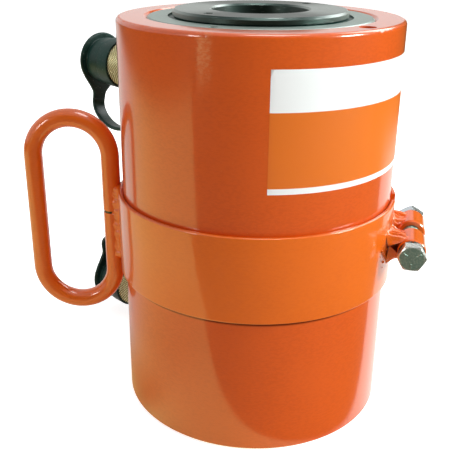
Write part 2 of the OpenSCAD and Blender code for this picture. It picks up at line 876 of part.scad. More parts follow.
// Direction across the strap at a point of its loop
function strap_across(share, side, drop, bulge) =
  let (
    step = 0.01,
    ahead = strap_point(min(share + step, 1), side, drop, bulge),
    behind = strap_point(max(share - step, 0), side, drop, bulge),
    along = (ahead - behind) / norm(ahead - behind)
  )
  [-along[1], along[0]];

// Moulded strap that keeps a dust cap on its coupler, from the tab's end to its ring round the neck
module cap_strap(z, side, drop, bulge) {
  shares = [for (i = [0 : strap_steps]) i / strap_steps];
  one_edge = [
    for (s = shares) strap_point(s, side, drop, bulge) + strap_across(s, side, drop, bulge) * strap_t / 2
  ];
  other_edge = [
    for (i = [strap_steps : -1 : 0])
      strap_point(shares[i], side, drop, bulge) - strap_across(shares[i], side, drop, bulge) * strap_t / 2
  ];
  color("darkslategray")
    difference() {
      union() {
        at_leaning_port(z, side)
          rotate([90, 0, 0])
            linear_extrude(strap_w, center = true)
              difference() {
                polygon(concat(one_edge, other_edge));
                translate([cap_floor_s - cap_disc_t, side > 0 ? 0 : -tab_end - fit_gap])
                  square([3 * cap_disc_t, tab_end + fit_gap]);
              }
        port_cylinder(z, strap_ring_d, ring_s - ring_len / 2, ring_s + ring_len / 2);
      }
      port_cylinder(z, neck_d + 2 * fit_gap, ring_s - ring_len, ring_s + ring_len);
    }
}

module upper_coupler_adapter() {
  coupler_adapter(upper_port_z);
}

module upper_coupler_shell() {
  coupler_shell(upper_port_z);
}

module upper_coupler_o_ring() {
  coupler_o_ring(upper_port_z);
}

module upper_valve_ball() {
  valve_ball(upper_port_z);
}

module upper_valve_spring() {
  valve_spring(upper_port_z);
}

module upper_dust_cap() {
  dust_cap(upper_port_z, -1);
}

module upper_cap_strap() {
  cap_strap(upper_port_z, -1, upper_strap_drop, strap_bulge);
}

module lower_coupler_adapter() {
  coupler_adapter(lower_port_z);
}

module lower_coupler_shell() {
  coupler_shell(lower_port_z);
}

module lower_coupler_o_ring() {
  coupler_o_ring(lower_port_z);
}

module lower_valve_ball() {
  valve_ball(lower_port_z);
}

module lower_valve_spring() {
  valve_spring(lower_port_z);
}

module lower_dust_cap() {
  dust_cap(lower_port_z, 1);
}

module lower_cap_strap() {
  cap_strap(lower_port_z, 1, lower_strap_rise, 0);
}

cylinder_body();
center_tube();
tube_o_ring();
gland_nut();
gland_o_ring();
gland_backup_ring();
rod_bearing();
rod_seal();
rod_wiper();
plunger();
saddle();
piston_seal();
piston_bearing();
tube_seal();
clamp_band();
front_clamp_lug();
rear_clamp_lug();
lug_welds();
clamp_bolt();
clamp_washer();
clamp_nut();
handle_loop();
handle_welds();
upper_coupler_adapter();
upper_coupler_shell();
upper_coupler_o_ring();
upper_valve_ball();
upper_valve_spring();
upper_dust_cap();
upper_cap_strap();
lower_coupler_adapter();
lower_coupler_shell();
lower_coupler_o_ring();
lower_valve_ball();
lower_valve_spring();
lower_dust_cap();
lower_cap_strap();
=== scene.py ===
import json

import bmesh
import bpy
import numpy as np
from mathutils import Matrix, Vector


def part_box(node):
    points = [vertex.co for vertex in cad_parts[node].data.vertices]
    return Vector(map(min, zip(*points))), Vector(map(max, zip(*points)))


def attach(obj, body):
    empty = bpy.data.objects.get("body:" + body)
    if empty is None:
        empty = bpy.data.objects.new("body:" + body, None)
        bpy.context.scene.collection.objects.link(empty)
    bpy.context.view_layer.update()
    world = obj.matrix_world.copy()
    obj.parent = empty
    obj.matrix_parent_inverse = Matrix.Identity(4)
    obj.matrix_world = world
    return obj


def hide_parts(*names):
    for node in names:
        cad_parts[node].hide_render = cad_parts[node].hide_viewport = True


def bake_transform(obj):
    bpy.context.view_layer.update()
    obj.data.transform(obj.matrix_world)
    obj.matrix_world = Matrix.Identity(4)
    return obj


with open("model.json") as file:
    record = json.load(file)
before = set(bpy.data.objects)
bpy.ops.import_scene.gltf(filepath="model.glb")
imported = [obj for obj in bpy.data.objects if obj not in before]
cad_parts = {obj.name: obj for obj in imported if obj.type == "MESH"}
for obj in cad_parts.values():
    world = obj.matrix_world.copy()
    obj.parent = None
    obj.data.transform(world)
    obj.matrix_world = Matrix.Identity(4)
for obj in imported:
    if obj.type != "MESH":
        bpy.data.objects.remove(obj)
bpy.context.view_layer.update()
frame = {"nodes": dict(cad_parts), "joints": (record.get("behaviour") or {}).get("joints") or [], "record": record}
print("frame loaded:", len(frame["nodes"]), "nodes")

mm = 0.001  # shapes below are worked out in millimetres, meshes are written in metres
fullTurn = 2 * np.pi
outward = np.array(next(j["axis"] for j in frame["joints"] if j["name"] == "upper_cap_pull"), float)
upward = np.array([0.0, 0.0, 1.0])


def boxOf(node):
    low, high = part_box(node)
    return np.array(low) / mm, np.array(high) / mm


bodyLow, bodyHigh = boxOf("cylinder_body")
bodyTop = bodyHigh[2]
bodyRadius = (bodyHigh[1] - bodyLow[1]) / 2
bandLow, bandHigh = boxOf("clamp_band")
bandRadius = (bandHigh[1] - bandLow[1]) / 2
portHeights = {level: np.mean(boxOf(level + "_coupler_shell"), axis=0)[2] for level in ("upper", "lower")}


# Shapes

# A spot to build at: its origin, the way along, the way across (up x along) and the way up
def spotAt(origin, along, up):
    return np.asarray(origin, float), np.asarray(along, float), np.cross(up, along), np.asarray(up, float)


mainAxis = spotAt((0, 0, 0), (0, 0, 1), (0, 1, 0))


# Each point is origin + along * station + radius * (cos(angle) across + sin(angle) up)
def revolve(stations, radii, spot, angles):
    origin, along, across, up = spot
    shape = np.broadcast(stations, radii, angles).shape
    station, radius, angle = (np.broadcast_to(v, shape)[..., None] for v in (stations, radii, angles))
    return origin + along * station + radius * (np.cos(angle) * across + np.sin(angle) * up)


def columnsOf(count):
    return np.arange(count)[None, :] * fullTurn / count


# Quads between neighbouring rows and columns of a grid of points
def skin(points, closeRows=False, closeColumns=True):
    rows, columns = points.shape[:2]
    index = np.arange(rows * columns).reshape(rows, columns)
    if closeRows:
        index = np.vstack([index, index[:1]])
    if closeColumns:
        index = np.hstack([index, index[:, :1]])
    quads = np.stack([index[:-1, :-1], index[:-1, 1:], index[1:, 1:], index[1:, :-1]], axis=-1)
    return points.reshape(-1, 3), quads.reshape(-1, 4)


# The first and last row shrink to their centres, which closes a tube's ends
def closeEnds(points):
    centres = points[[0, -1]].mean(axis=1, keepdims=True)
    ends = np.broadcast_to(centres, (2,) + points.shape[1:])
    return np.concatenate([ends[:1], points, ends[1:]])


arcs = {"straightest": 0.999999, "mostOfSide": 0.49, "tinyLength": 1e-12, "tinyAngle": 1e-9}


# Every corner (x, y, radius) becomes an arc that touches both of its sides
def rounded(corners, steps=6):
    corners = np.asarray(corners, float)
    point, wanted = corners[:, :2], corners[:, 2]
    before, after = np.roll(point, 1, 0) - point, np.roll(point, -1, 0) - point
    lengthBefore, lengthAfter = np.linalg.norm(before, axis=1), np.linalg.norm(after, axis=1)
    before, after = before / lengthBefore[:, None], after / lengthAfter[:, None]
    cosine = np.clip((before * after).sum(1), -arcs["straightest"], arcs["straightest"])
    half = np.arccos(cosine) / 2
    cut = np.minimum(wanted / np.tan(half), arcs["mostOfSide"] * np.minimum(lengthBefore, lengthAfter))
    middle = before + after
    middle /= np.linalg.norm(middle, axis=1)[:, None] + arcs["tinyLength"]
    centre = point + middle * (cut / np.cos(half))[:, None]
    first, last = point + before * cut[:, None] - centre, point + after * cut[:, None] - centre
    opening = (np.pi - 2 * half)[:, None, None] + arcs["tinyAngle"]
    share = np.linspace(0, 1, steps)[None, :, None]
    turn = np.sin((1 - share) * opening) * first[:, None] + np.sin(share * opening) * last[:, None]
    return (centre[:, None] + turn / np.sin(opening)).reshape(-1, 2)


def circle(count):
    angles = columnsOf(count)[0]
    return np.stack([np.cos(angles), np.sin(angles)], 1)


# Length run along a path up to each point, and the way ahead there
def runOf(path):
    ahead = np.gradient(path, axis=0)
    steps = np.linalg.norm(np.diff(path, axis=0), axis=1)
    return np.concatenate([[0], np.cumsum(steps)]), ahead / np.linalg.norm(ahead, axis=1)[:, None]


# A section (normal, binormal) carried along a path of points
def sweep(path, normals, binormals, section):
    section = np.broadcast_to(section, (len(path),) + section.shape[-2:])
    return path[:, None] + section[..., :1] * normals[:, None] + section[..., 1:] * binormals[:, None]


# Triangle wave between 0 and 1 with a period of 1
def zigzag(value):
    return np.abs(2 * (value - np.floor(value)) - 1)


# Distance from the middle of a hexagon to its side, for a size across the flats
def hexRadius(angles, acrossFlats, turn):
    sixth = np.pi / 3
    return acrossFlats / 2 / np.cos((angles - turn + sixth / 2) % sixth - sixth / 2)


cleaning = {"merge": 2e-6, "flat": 1e-7}  # in metres


def addPiece(name, skins, material, body=None, replaces=(), sharp=32):
    starts = np.cumsum([0] + [len(points) for points, _ in skins])
    points = np.concatenate([points for points, _ in skins]) * mm
    quads = np.concatenate([quads + start for (_, quads), start in zip(skins, starts)])
    mesh = bpy.data.meshes.new(name)
    mesh.from_pydata(points.tolist(), [], quads.tolist())
    work = bmesh.new()
    work.from_mesh(mesh)
    bmesh.ops.remove_doubles(work, verts=work.verts, dist=cleaning["merge"])
    bmesh.ops.dissolve_degenerate(work, edges=work.edges, dist=cleaning["flat"])
    bmesh.ops.recalc_face_normals(work, faces=work.faces)
    work.to_mesh(mesh)
    work.free()
    mesh.polygons.foreach_set("use_smooth", np.ones(len(mesh.polygons), bool))
    mesh.set_sharp_from_angle(angle=np.radians(sharp))
    mesh.materials.append(material)
    piece = bpy.data.objects.new(name, mesh)
    bpy.context.scene.collection.objects.link(piece)
    if body:
        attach(piece, body)
    if replaces:
        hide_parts(*replaces)
    return piece


# Shader maths

# An operator on values that adds a Math node, with the other value first where it is swapped
def mathOperator(operation, swapped=False):
    def apply(self, other):
        pair = (other, self) if swapped else (self, other)
        return self.graph.math(operation, *pair)
    return apply


# Wraps a socket, so that sums on values add Math nodes
class Value:
    def __init__(self, graph, socket):
        self.graph, self.socket = graph, socket

    __add__, __radd__ = mathOperator("ADD"), mathOperator("ADD", True)
    __sub__, __rsub__ = mathOperator("SUBTRACT"), mathOperator("SUBTRACT", True)
    __mul__, __truediv__ = mathOperator("MULTIPLY"), mathOperator("DIVIDE")


class Graph:
    def __init__(self, tree):
        self.tree = tree

    def set(self, socket, value):
        if isinstance(value, Value):
            self.tree.links.new(value.socket, socket)
        else:
            socket.default_value = value

    def node(self, kind, settings, sockets, out=0):
        made = self.tree.nodes.new(kind)
        for key, value in settings.items():
            setattr(made, key, value)
        for key, value in sockets.items():
            self.set(made.inputs[key], value)
        return Value(self, made.outputs[out])

    def math(self, operation, *values):
        return self.node("ShaderNodeMath", {"operation": operation}, dict(enumerate(values)))

    def length(self, first, second):
        return self.math("SQRT", first * first + second * second)

    # 0 up to low, 1 from high on, and a smooth step between
    def ramp(self, value, low, high):
        smooth = {"interpolation_type": "SMOOTHSTEP"}
        return self.node("ShaderNodeMapRange", smooth, {0: value, 1: low, 2: high})

    # Noise at one scale, or at three that stretch it along x, y and z
    def noise(self, place, scale, detail=2.0, rough=0.5):
        if np.ndim(scale):
            place = self.node("ShaderNodeVectorMath", {"operation": "MULTIPLY"}, {0: place, 1: scale})
            scale = 1.0
        sockets = {"Vector": place, "Scale": scale, "Detail": detail, "Roughness": rough}
        return self.node("ShaderNodeTexNoise", {}, sockets)

    # Noise made into blotches: 0 where it lies under low and 1 where it lies over high
    def blotches(self, place, scale, detail, low, high, rough=0.5):
        return self.ramp(self.noise(place, scale, detail, rough), low, high)

    def split(self, place):
        return [self.node("ShaderNodeSeparateXYZ", {}, {0: place}, out) for out in range(3)]

    def join(self, x, y, z):
        return self.node("ShaderNodeCombineXYZ", {}, {0: x, 1: y, 2: z})

    def mix(self, share, first, second):
        return self.node("ShaderNodeMix", {"data_type": "RGBA"}, {0: share, 6: first, 7: second}, 2)

    def bump(self, height):
        return self.node("ShaderNodeBump", {}, {"Strength": 1.0, "Distance": mm, "Height": height})

    def ray(self, kind):
        return self.node("ShaderNodeLightPath", {}, {}, kind)


# A material with its graph and its place on the piece in millimetres
def newMaterial(name):
    material = bpy.data.materials.new(name)
    material.use_nodes = True
    graph = Graph(material.node_tree)
    here = graph.node("ShaderNodeTexCoord", {}, {}, "Object")
    place = graph.node("ShaderNodeVectorMath", {"operation": "SCALE"}, {0: here, "Scale": 1 / mm})
    return material, graph, place


def finishShader(graph, sockets):
    shader = graph.tree.nodes["Principled BSDF"]
    for key, value in sockets.items():
        graph.set(shader.inputs[key], value)


# Distance from the cylinder's axis, angle round it and height
def roundAxis(graph, place):
    x, y, z = graph.split(place)
    return graph.length(x, y), graph.math("ARCTAN2", y, x), z


paint = {
    "colour": (0.73, 0.102, 0.008, 1), "thin": (0.64, 0.080, 0.006, 1), "dust": (0.76, 0.20, 0.06, 1),
    "turningPitch": 1.25, "turningDepth": 0.0010, "wander": 9.0, "wanderScale": (0.02, 0.02, 0.3),
    "patchyScale": (0.05, 0.05, 0.9), "peelSize": (2.4, 2.4, 0.9), "peelDepth": 0.040,
    "peelRange": (0.35, 0.65), "mottle": 0.6, "broadScale": 0.03, "broadRange": (0.35, 0.7),
    "broadShare": 0.3, "specks": (0.9, 1.0, 0.755, 0.79), "speckRise": 0.004, "speckShare": 0.5,
    "marks": ((0.52, 0.52, 1.00), 1.0, 0.46, 0.58), "markRise": 0.0015, "chatter": 0.016, "scuffAndHighlight": 0.55,
    "chatterTurn": -109.0, "chatterWide": (3.75, 1.75), "chatterHeight": (204.0, 219.0),
    "bandShadowColour": (0.05, 0.008, 0.002, 1), "bandShadowAt": bandLow[2], "bandShadowFade": (3.1, 1.705), "bandShadowHidden": 2.0,
    "bandShadowShare": 0.82, "rough": 0.012, "roughVary": 0.03, "coat": 0.6, "coatSpecks": 0.3, "coatBandShadow": 0.5,
    "coatRough": 0.30,
}
freshPaint = dict(paint, colour=(0.82, 0.148, 0.008, 1), thin=(0.77, 0.130, 0.007, 1), turningDepth=0.0004,
                  markRise=0.001, chatter=0.0, scuffAndHighlight=0.0, bandShadowShare=0.0)
weldPaint = dict(freshPaint, peelSize=(1.7, 1.7, 1.7), peelDepth=0.38)


# Gloss paint over a turned surface: orange peel, faint turning rings, thinner places, specks, short tool
# marks with one patch of chatter whose marks are also painted lighter as a highlight streak, and a painted
# shadow line below the band; the coat is the broad part of the gloss
def makePaint(name, look):
    material, graph, place = newMaterial(name)
    x, y, z = graph.split(place)
    wander = graph.noise(place, look["wanderScale"])
    rings = graph.math("SINE", z * (fullTurn / look["turningPitch"]) + wander * look["wander"])
    patchy = graph.noise(place, look["patchyScale"], detail=3.0)
    peel = graph.noise(place, tuple(1 / size for size in look["peelSize"]))
    broad = graph.noise(place, look["broadScale"], detail=3.0)
    specks = graph.blotches(place, *look["specks"])
    marks = graph.blotches(place, *look["marks"])
    # Chatter patch on the body: its marks are raised and also painted in the pale dust colour, a painted highlight
    # streak
    turn = np.radians(look["chatterTurn"])
    facing = (x * np.cos(turn) + y * np.sin(turn)) / graph.length(x, y)
    streakPatch = graph.ramp(facing, *np.cos(np.radians(look["chatterWide"])))
    streakPatch = streakPatch * graph.ramp(z, *look["chatterHeight"])
    height = rings * patchy * look["turningDepth"] + peel * look["peelDepth"]
    height = height + specks * look["speckRise"] + marks * (streakPatch * look["chatter"] + look["markRise"])
    # Painted shadow: the body's colour darkens, and its coat thins, in a narrow line just below the band
    edge, (fadeFrom, fadeTo) = look["bandShadowAt"], look["bandShadowFade"]
    bandShadow = graph.ramp(z, edge - fadeFrom, edge - fadeTo)
    bandShadow = bandShadow * (1.0 - graph.ramp(z, edge, edge + look["bandShadowHidden"])) * look["bandShadowShare"]
    thin = graph.ramp(broad, *look["broadRange"]) * look["broadShare"]
    thin = thin + (graph.ramp(peel, *look["peelRange"]) - 0.5) * look["mottle"]
    dusty = specks * look["speckShare"] + marks * streakPatch * look["scuffAndHighlight"]
    colour = graph.mix(dusty, graph.mix(thin, look["colour"], look["thin"]), look["dust"])
    finishShader(graph, {
        "Base Color": graph.mix(bandShadow, colour, look["bandShadowColour"]),
        "Roughness": look["rough"] + broad * look["roughVary"],
        "Coat Weight": look["coat"] - specks * look["coatSpecks"] - bandShadow * look["coatBandShadow"],
        "Coat Roughness": look["coatRough"],
        "Normal": graph.bump(height),
    })
    return material


oxide = {
    "colour": (0.22, 0.285, 0.262, 1), "oil": (0.30, 0.37, 0.345, 1), "worn": (0.40, 0.45, 0.43, 1),
    "rough": 0.27, "turnScale": 1.6, "ringScale": (2.4, 2.4, 1.0), "ringRough": 0.14, "grain": 0.008,
    "oilScale": 0.09, "oilRough": 0.1, "scuffs": ((1.1, 1.1, 3.0), 4.0, 0.60, 0.78), "scuffShare": 0.5,
    "paintedSheen": 0.0, "paintedSheenRange": (0.25, 0.95),
}
phosphate = dict(oxide, colour=(0.25, 0.315, 0.29, 1), oil=(0.33, 0.40, 0.375, 1), rough=0.30)
darkOxide = dict(oxide, colour=(0.030, 0.046, 0.042, 1), oil=(0.055, 0.075, 0.068, 1), paintedSheen=0.70)
washerOxide = dict(oxide, colour=(0.05, 0.05, 0.04, 1), oil=(0.09, 0.08, 0.06, 1))


# Blackened turned steel: fine rings round the axis, oily patches, bare spots, and a painted sheen, the pale worn
# colour mixed in at the sides of a face as a painted highlight
def makeOxide(name, look):
    material, graph, place = newMaterial(name)
    radius, angle, z = roundAxis(graph, place)
    turned = graph.join(radius, z, angle * look["turnScale"])
    rings = graph.noise(turned, look["ringScale"])
    oily = graph.noise(place, look["oilScale"], detail=4.0)
    scuffs = graph.blotches(turned, *look["scuffs"])
    # Painted sheen: the pale worn colour is mixed in at the sides of a face, standing in for a turned face's
    # highlight
    sideways = graph.math("COSINE", angle)
    paintedSheen = graph.ramp(sideways * sideways, *look["paintedSheenRange"]) * look["paintedSheen"]
    colour = graph.mix(paintedSheen, graph.mix(oily, look["colour"], look["oil"]), look["worn"])
    finishShader(graph, {
        "Base Color": graph.mix(scuffs * look["scuffShare"], colour, look["worn"]), "Metallic": 1.0,
        "Roughness": look["rough"] + rings * look["ringRough"] + oily * look["oilRough"],
        "Normal": graph.bump(rings * look["grain"]),
    })
    return material


steel = {
    "cloudScale": 0.16, "cloudRough": 0.14, "pits": (1.4, 2.0, 0.66, 0.76), "pitShare": 0.45,
    "pitColour": (0.12, 0.11, 0.09, 1), "pitRough": 0.15, "pitDepth": 0.006, "metal": 1.0,
}
steels = {
    "clearZinc": dict(steel, colour=(0.42, 0.53, 0.46, 1), tint=(0.32, 0.42, 0.36, 1), rough=0.26,
                      grain=0.010, grainScale=(1.5, 1.5, 1.5), metal=0.6),
    "yellowZinc": dict(steel, colour=(0.74, 0.70, 0.42, 1), tint=(0.56, 0.58, 0.36, 1), rough=0.24,
                       grain=0.008, grainScale=(1.2, 1.2, 1.2), metal=0.6),
    "nutZinc": dict(steel, colour=(0.72, 0.80, 0.86, 1), tint=(0.56, 0.64, 0.70, 1), rough=0.20,
                    grain=0.008, grainScale=(1.5, 1.5, 1.5)),
    "hardChrome": dict(steel, colour=(0.72, 0.73, 0.75, 1), tint=(0.66, 0.67, 0.70, 1), rough=0.07,
                       grain=0.003, grainScale=(0.1, 0.1, 4.0)),
    "brightSteel": dict(steel, colour=(0.50, 0.50, 0.48, 1), tint=(0.40, 0.40, 0.39, 1), rough=0.22,
                        grain=0.012, grainScale=(0.15, 0.15, 2.5)),
}


# Plated or machined steel: a fine grain, cloudy plating and small pits
def makeSteel(name, look):
    material, graph, place = newMaterial(name)
    cloudy = graph.noise(place, look["cloudScale"], detail=4.0)
    lines = graph.noise(place, look["grainScale"], detail=3.0)
    pits = graph.blotches(place, *look["pits"])
    plating = graph.mix(cloudy, look["colour"], look["tint"])
    finishShader(graph, {
        "Base Color": graph.mix(pits * look["pitShare"], plating, look["pitColour"]),
        "Metallic": look["metal"],
        "Roughness": look["rough"] + cloudy * look["cloudRough"] + pits * look["pitRough"],
        "Normal": graph.bump(lines * look["grain"] - pits * look["pitDepth"]),
    })
    return material


rubber = {
    "colour": (0.0020, 0.0280, 0.0215, 1), "bloom": (0.008, 0.050, 0.042, 1), "scuffAndHighlight": (0.24, 0.30, 0.27, 1),
    "bloomed": (0.11, 4.0, 0.40, 0.75), "bloomShare": 0.5, "bloomRough": 0.14, "grainScale": 3.2,
    "grain": 0.012, "rubbed": (0.75, 5.0, 0.60, 0.72, 0.65), "rubRough": 0.2, "rough": 0.38,
    "specular": 0.27, "capFlecks": 0.55, "sealFlecks": 0.08,
}


# Moulded rubber: a fine grain, a grey bloom and pale rubbed flecks
def makeRubber(name, flecks):
    material, graph, place = newMaterial(name)
    bloom = graph.blotches(place, *rubber["bloomed"])
    grain = graph.noise(place, rubber["grainScale"])
    rubbed = graph.blotches(place, *rubber["rubbed"])
    colour = graph.mix(bloom * rubber["bloomShare"], rubber["colour"], rubber["bloom"])
    finishShader(graph, {
        "Base Color": graph.mix(rubbed * flecks, colour, rubber["scuffAndHighlight"]),
        "Roughness": rubber["rough"] + bloom * rubber["bloomRough"] + rubbed * rubber["rubRough"],
        "Specular IOR Level": rubber["specular"], "Normal": graph.bump(grain * rubber["grain"]),
    })
    return material


bearing = {
    "threadsRound": 190.0, "threadsTall": 6.0, "dark": (0.42, 0.30, 0.16, 1), "pale": (0.55, 0.43, 0.26, 1),
    "rough": 0.55, "roughVary": 0.08, "depth": 0.02,
}


# Woven bearing cloth set in resin: two crossed sets of threads, each a sine
def makeBearing():
    material, graph, place = newMaterial("bearingCloth")
    radius, angle, z = roundAxis(graph, place)
    weave = graph.math("SINE", angle * bearing["threadsRound"])
    weave = weave * graph.math("SINE", z * bearing["threadsTall"])
    finishShader(graph, {
        "Base Color": graph.mix(weave * 0.5 + 0.5, bearing["dark"], bearing["pale"]),
        "Roughness": bearing["rough"] + weave * bearing["roughVary"],
        "Normal": graph.bump(weave * bearing["depth"]),
    })
    return material


label = {
    "fromAngle": -86.0, "toAngle": 22.0, "low": 154.2, "high": 215.6, "thickness": 0.14, "gap": 0.03,
    "stripeTop": 157.3, "bandLow": 195.2, "edgeSoft": 0.15, "white": (0.95, 0.95, 0.95, 1),
    "field": (0.80, 0.172, 0.012, 1), "rough": 0.24, "wornScale": 0.05, "wornRough": 0.12, "waveScale": 0.12,
    "waveDepth": 0.03, "columns": 97, "rows": 17,
}


# Bare two-tone film: a white band above, a coloured field, a thin white stripe below
def makeLabelFilm():
    material, graph, place = newMaterial("labelFilm")
    z, soft = graph.split(place)[2], label["edgeSoft"]
    white = graph.ramp(z, label["bandLow"] - soft, label["bandLow"] + soft)
    white = white + 1.0 - graph.ramp(z, label["stripeTop"] - soft, label["stripeTop"] + soft)
    worn = graph.noise(place, label["wornScale"], detail=4.0)
    finishShader(graph, {
        "Base Color": graph.mix(white, label["field"], label["white"]),
        "Roughness": label["rough"] + worn * label["wornRough"],
        "Normal": graph.bump(graph.noise(place, label["waveScale"]) * label["waveDepth"]),
    })
    return material


orangePaint = makePaint("orangePaint", paint)
clampPaint = makePaint("clampPaint", freshPaint)
beadPaint = makePaint("beadPaint", weldPaint)
blackOxide = makeOxide("blackOxide", oxide)
glandPhosphate = makeOxide("glandPhosphate", phosphate)
saddleOxide = makeOxide("saddleOxide", darkOxide)
washerBlack = makeOxide("washerBlack", washerOxide)
metals = {name: makeSteel(name, look) for name, look in steels.items()}
capRubber = makeRubber("capRubber", rubber["capFlecks"])
sealRubber = makeRubber("sealRubber", rubber["sealFlecks"])
labelFilm = makeLabelFilm()

finishes = {
    "orange_paint": orangePaint, "black_oxide": blackOxide, "clear_zinc": metals["clearZinc"],
    "yellow_zinc": metals["yellowZinc"], "hard_chrome": metals["hardChrome"],
    "bright_steel": metals["brightSteel"], "cap_rubber": capRubber, "seal_rubber": sealRubber,
    "bearing_polymer": makeBearing(),
}
# The center tube takes the dark saddle oxide as painted shade deep in its bore; the other entries are the parts'
# own finishes
special = {
    "gland_nut": glandPhosphate, "saddle": saddleOxide, "center_tube": saddleOxide,
    "front_clamp_lug": clampPaint, "rear_clamp_lug": clampPaint,
}
for part in frame["record"]["subparts"]:
    for slot in frame["nodes"][part["node"]].material_slots:
        slot.material = special.get(part["node"], finishes[part["material_slot"]])
print("materials:", len(bpy.data.materials))


# Label patch: outer and inner faces on the body's cylinder, run together at the four edges
def makeLabel():
    angles = np.radians(np.linspace(label["fromAngle"], label["toAngle"], label["columns"]))
    heights = np.linspace(label["low"], label["high"], label["rows"])
    edge = np.ones((len(heights), len(angles)))
    edge[[0, -1], :] = 0
    edge[:, [0, -1]] = 0
    lift = bodyRadius + label["gap"]
    outer = revolve(heights[:, None], lift + edge * label["thickness"], mainAxis, angles[None, :])
    inner = revolve(heights[:, None], np.full_like(edge, lift), mainAxis, angles[None, :])
    both = np.concatenate([outer, inner[::-1]])
    addPiece("label_film", [skin(both, True, False)], labelFilm, "cylinder", sharp=60)


makeLabel()


band = {
    "gap": 0.06, "splitAngle": -10.0, "splitGap": 11.0, "bevel": 1.2, "round": 0.9, "innerRound": 0.2,
    "bevelRound": 0.3, "steps": 240,
}


# Band section (radius, height) carried round the body from one side of the split to the other
def makeBand():
    inner, outer, low, high = bodyRadius + band["gap"], bandRadius, bandLow[2], bandHigh[2]
    bevel, soft, fine, small = band["bevel"], band["round"], band["bevelRound"], band["innerRound"]
    section = rounded([
        (inner, low + bevel, small), (inner + bevel, low, fine), (outer, low, soft), (outer, high, soft),
        (inner + bevel, high, fine), (inner, high - bevel, small),
    ])
    radius, height = section[None, :, 0], section[None, :, 1]
    opening = np.arcsin(band["splitGap"] / 2 / radius)
    share = np.linspace(0, 1, band["steps"])[:, None]
    angles = np.radians(band["splitAngle"]) + opening + share * (fullTurn - 2 * opening)
    points = closeEnds(revolve(height, radius, mainAxis, angles))
    addPiece("band_strip", [skin(points)], clampPaint, "cylinder", ("clamp_band",))


makeBand()

handleLow, handleHigh = boxOf("handle_loop")
handle = {
    "rodRadius": handleHigh[1], "innerLeg": handleHigh[1] - handleHigh[0],
    "outerLeg": -handleLow[0] - handleHigh[1], "slitRise": 2.0, "slit": 1.3, "slitDepth": 0.35,
    "shadeFillLap": 0.1, "endRound": 0.35, "straightSteps": 14, "bendSteps": 40, "around": 48,
}


# Centre line of the rod: up the inner leg, over, down the outer leg, under and up to the slit again
def handlePath():
    inner, outer, steps = handle["innerLeg"], handle["outerLeg"], handle["straightSteps"]
    bendRadius, middle = (outer - inner) / 2, (inner + outer) / 2
    lowBend = handleLow[2] + handle["rodRadius"] + bendRadius
    highBend = handleHigh[2] - handle["rodRadius"] - bendRadius
    slitHeight = (lowBend + highBend) / 2 + handle["slitRise"]
    start, end = slitHeight + handle["slit"] / 2, slitHeight - handle["slit"] / 2
    bend = np.linspace(0, np.pi, handle["bendSteps"])
    ease = 1 - np.cos(np.linspace(0, np.pi / 2, steps))
    up = np.stack([np.full(steps, inner), start + ease * (highBend - start)], 1)
    over = np.stack([middle - bendRadius * np.cos(bend), highBend + bendRadius * np.sin(bend)], 1)
    under = np.stack([middle + bendRadius * np.cos(bend), lowBend - bendRadius * np.sin(bend)], 1)
    rise = np.stack([np.full(steps, inner), end - ease[::-1] * (end - lowBend)], 1)
    return np.concatenate([up[:-1], over, under, rise[1:]])


# A round rod along a flat path in the plane y = 0, its ends rounded off, and a dark disc of painted shade that
# fills the slit between the ends
def makeHandle():
    path = handlePath()
    run, ahead = runOf(path)
    toEnd = np.minimum(run, run[-1] - run) / handle["endRound"]
    radius = handle["rodRadius"] - handle["endRound"] * (1 - np.sqrt(1 - (1 - np.clip(toEnd, 0, 1)) ** 2))
    section = radius[:, None, None] * circle(handle["around"])
    zero = np.zeros(len(path))
    line = np.stack([-path[:, 0], zero, path[:, 1]], 1)
    normals = np.stack([ahead[:, 1], zero, ahead[:, 0]], 1)
    binormals = np.tile([0.0, 1.0, 0.0], (len(path), 1))
    points = closeEnds(sweep(line, normals, binormals, section))
    addPiece("handle_rod", [skin(points)], clampPaint, "cylinder", ("handle_loop",))
    # Painted shade: a dark disc fills the slit, so the gap reads dark
    ends = np.array([path[-1, 1] - handle["shadeFillLap"], path[0, 1] + handle["shadeFillLap"]])[:, None]
    spot = spotAt((-handle["innerLeg"], 0, 0), upward, (0, 1, 0))
    scale = revolve(ends, handle["rodRadius"] - handle["slitDepth"], spot, columnsOf(handle["around"]))
    addPiece("slit_shade_fill", [skin(closeEnds(scale))], washerBlack, "cylinder")


makeHandle()

weld = {
    "ripple": 2.3, "crescent": 1.1, "swell": 0.4, "swellRate": 0.71, "fill": 0.42,
    "lumps": [(0.93, 2, 1.0), (0.41, -3, 2.3)], "curveSteps": 20, "step": 0.22, "endSize": 1e-6,
}


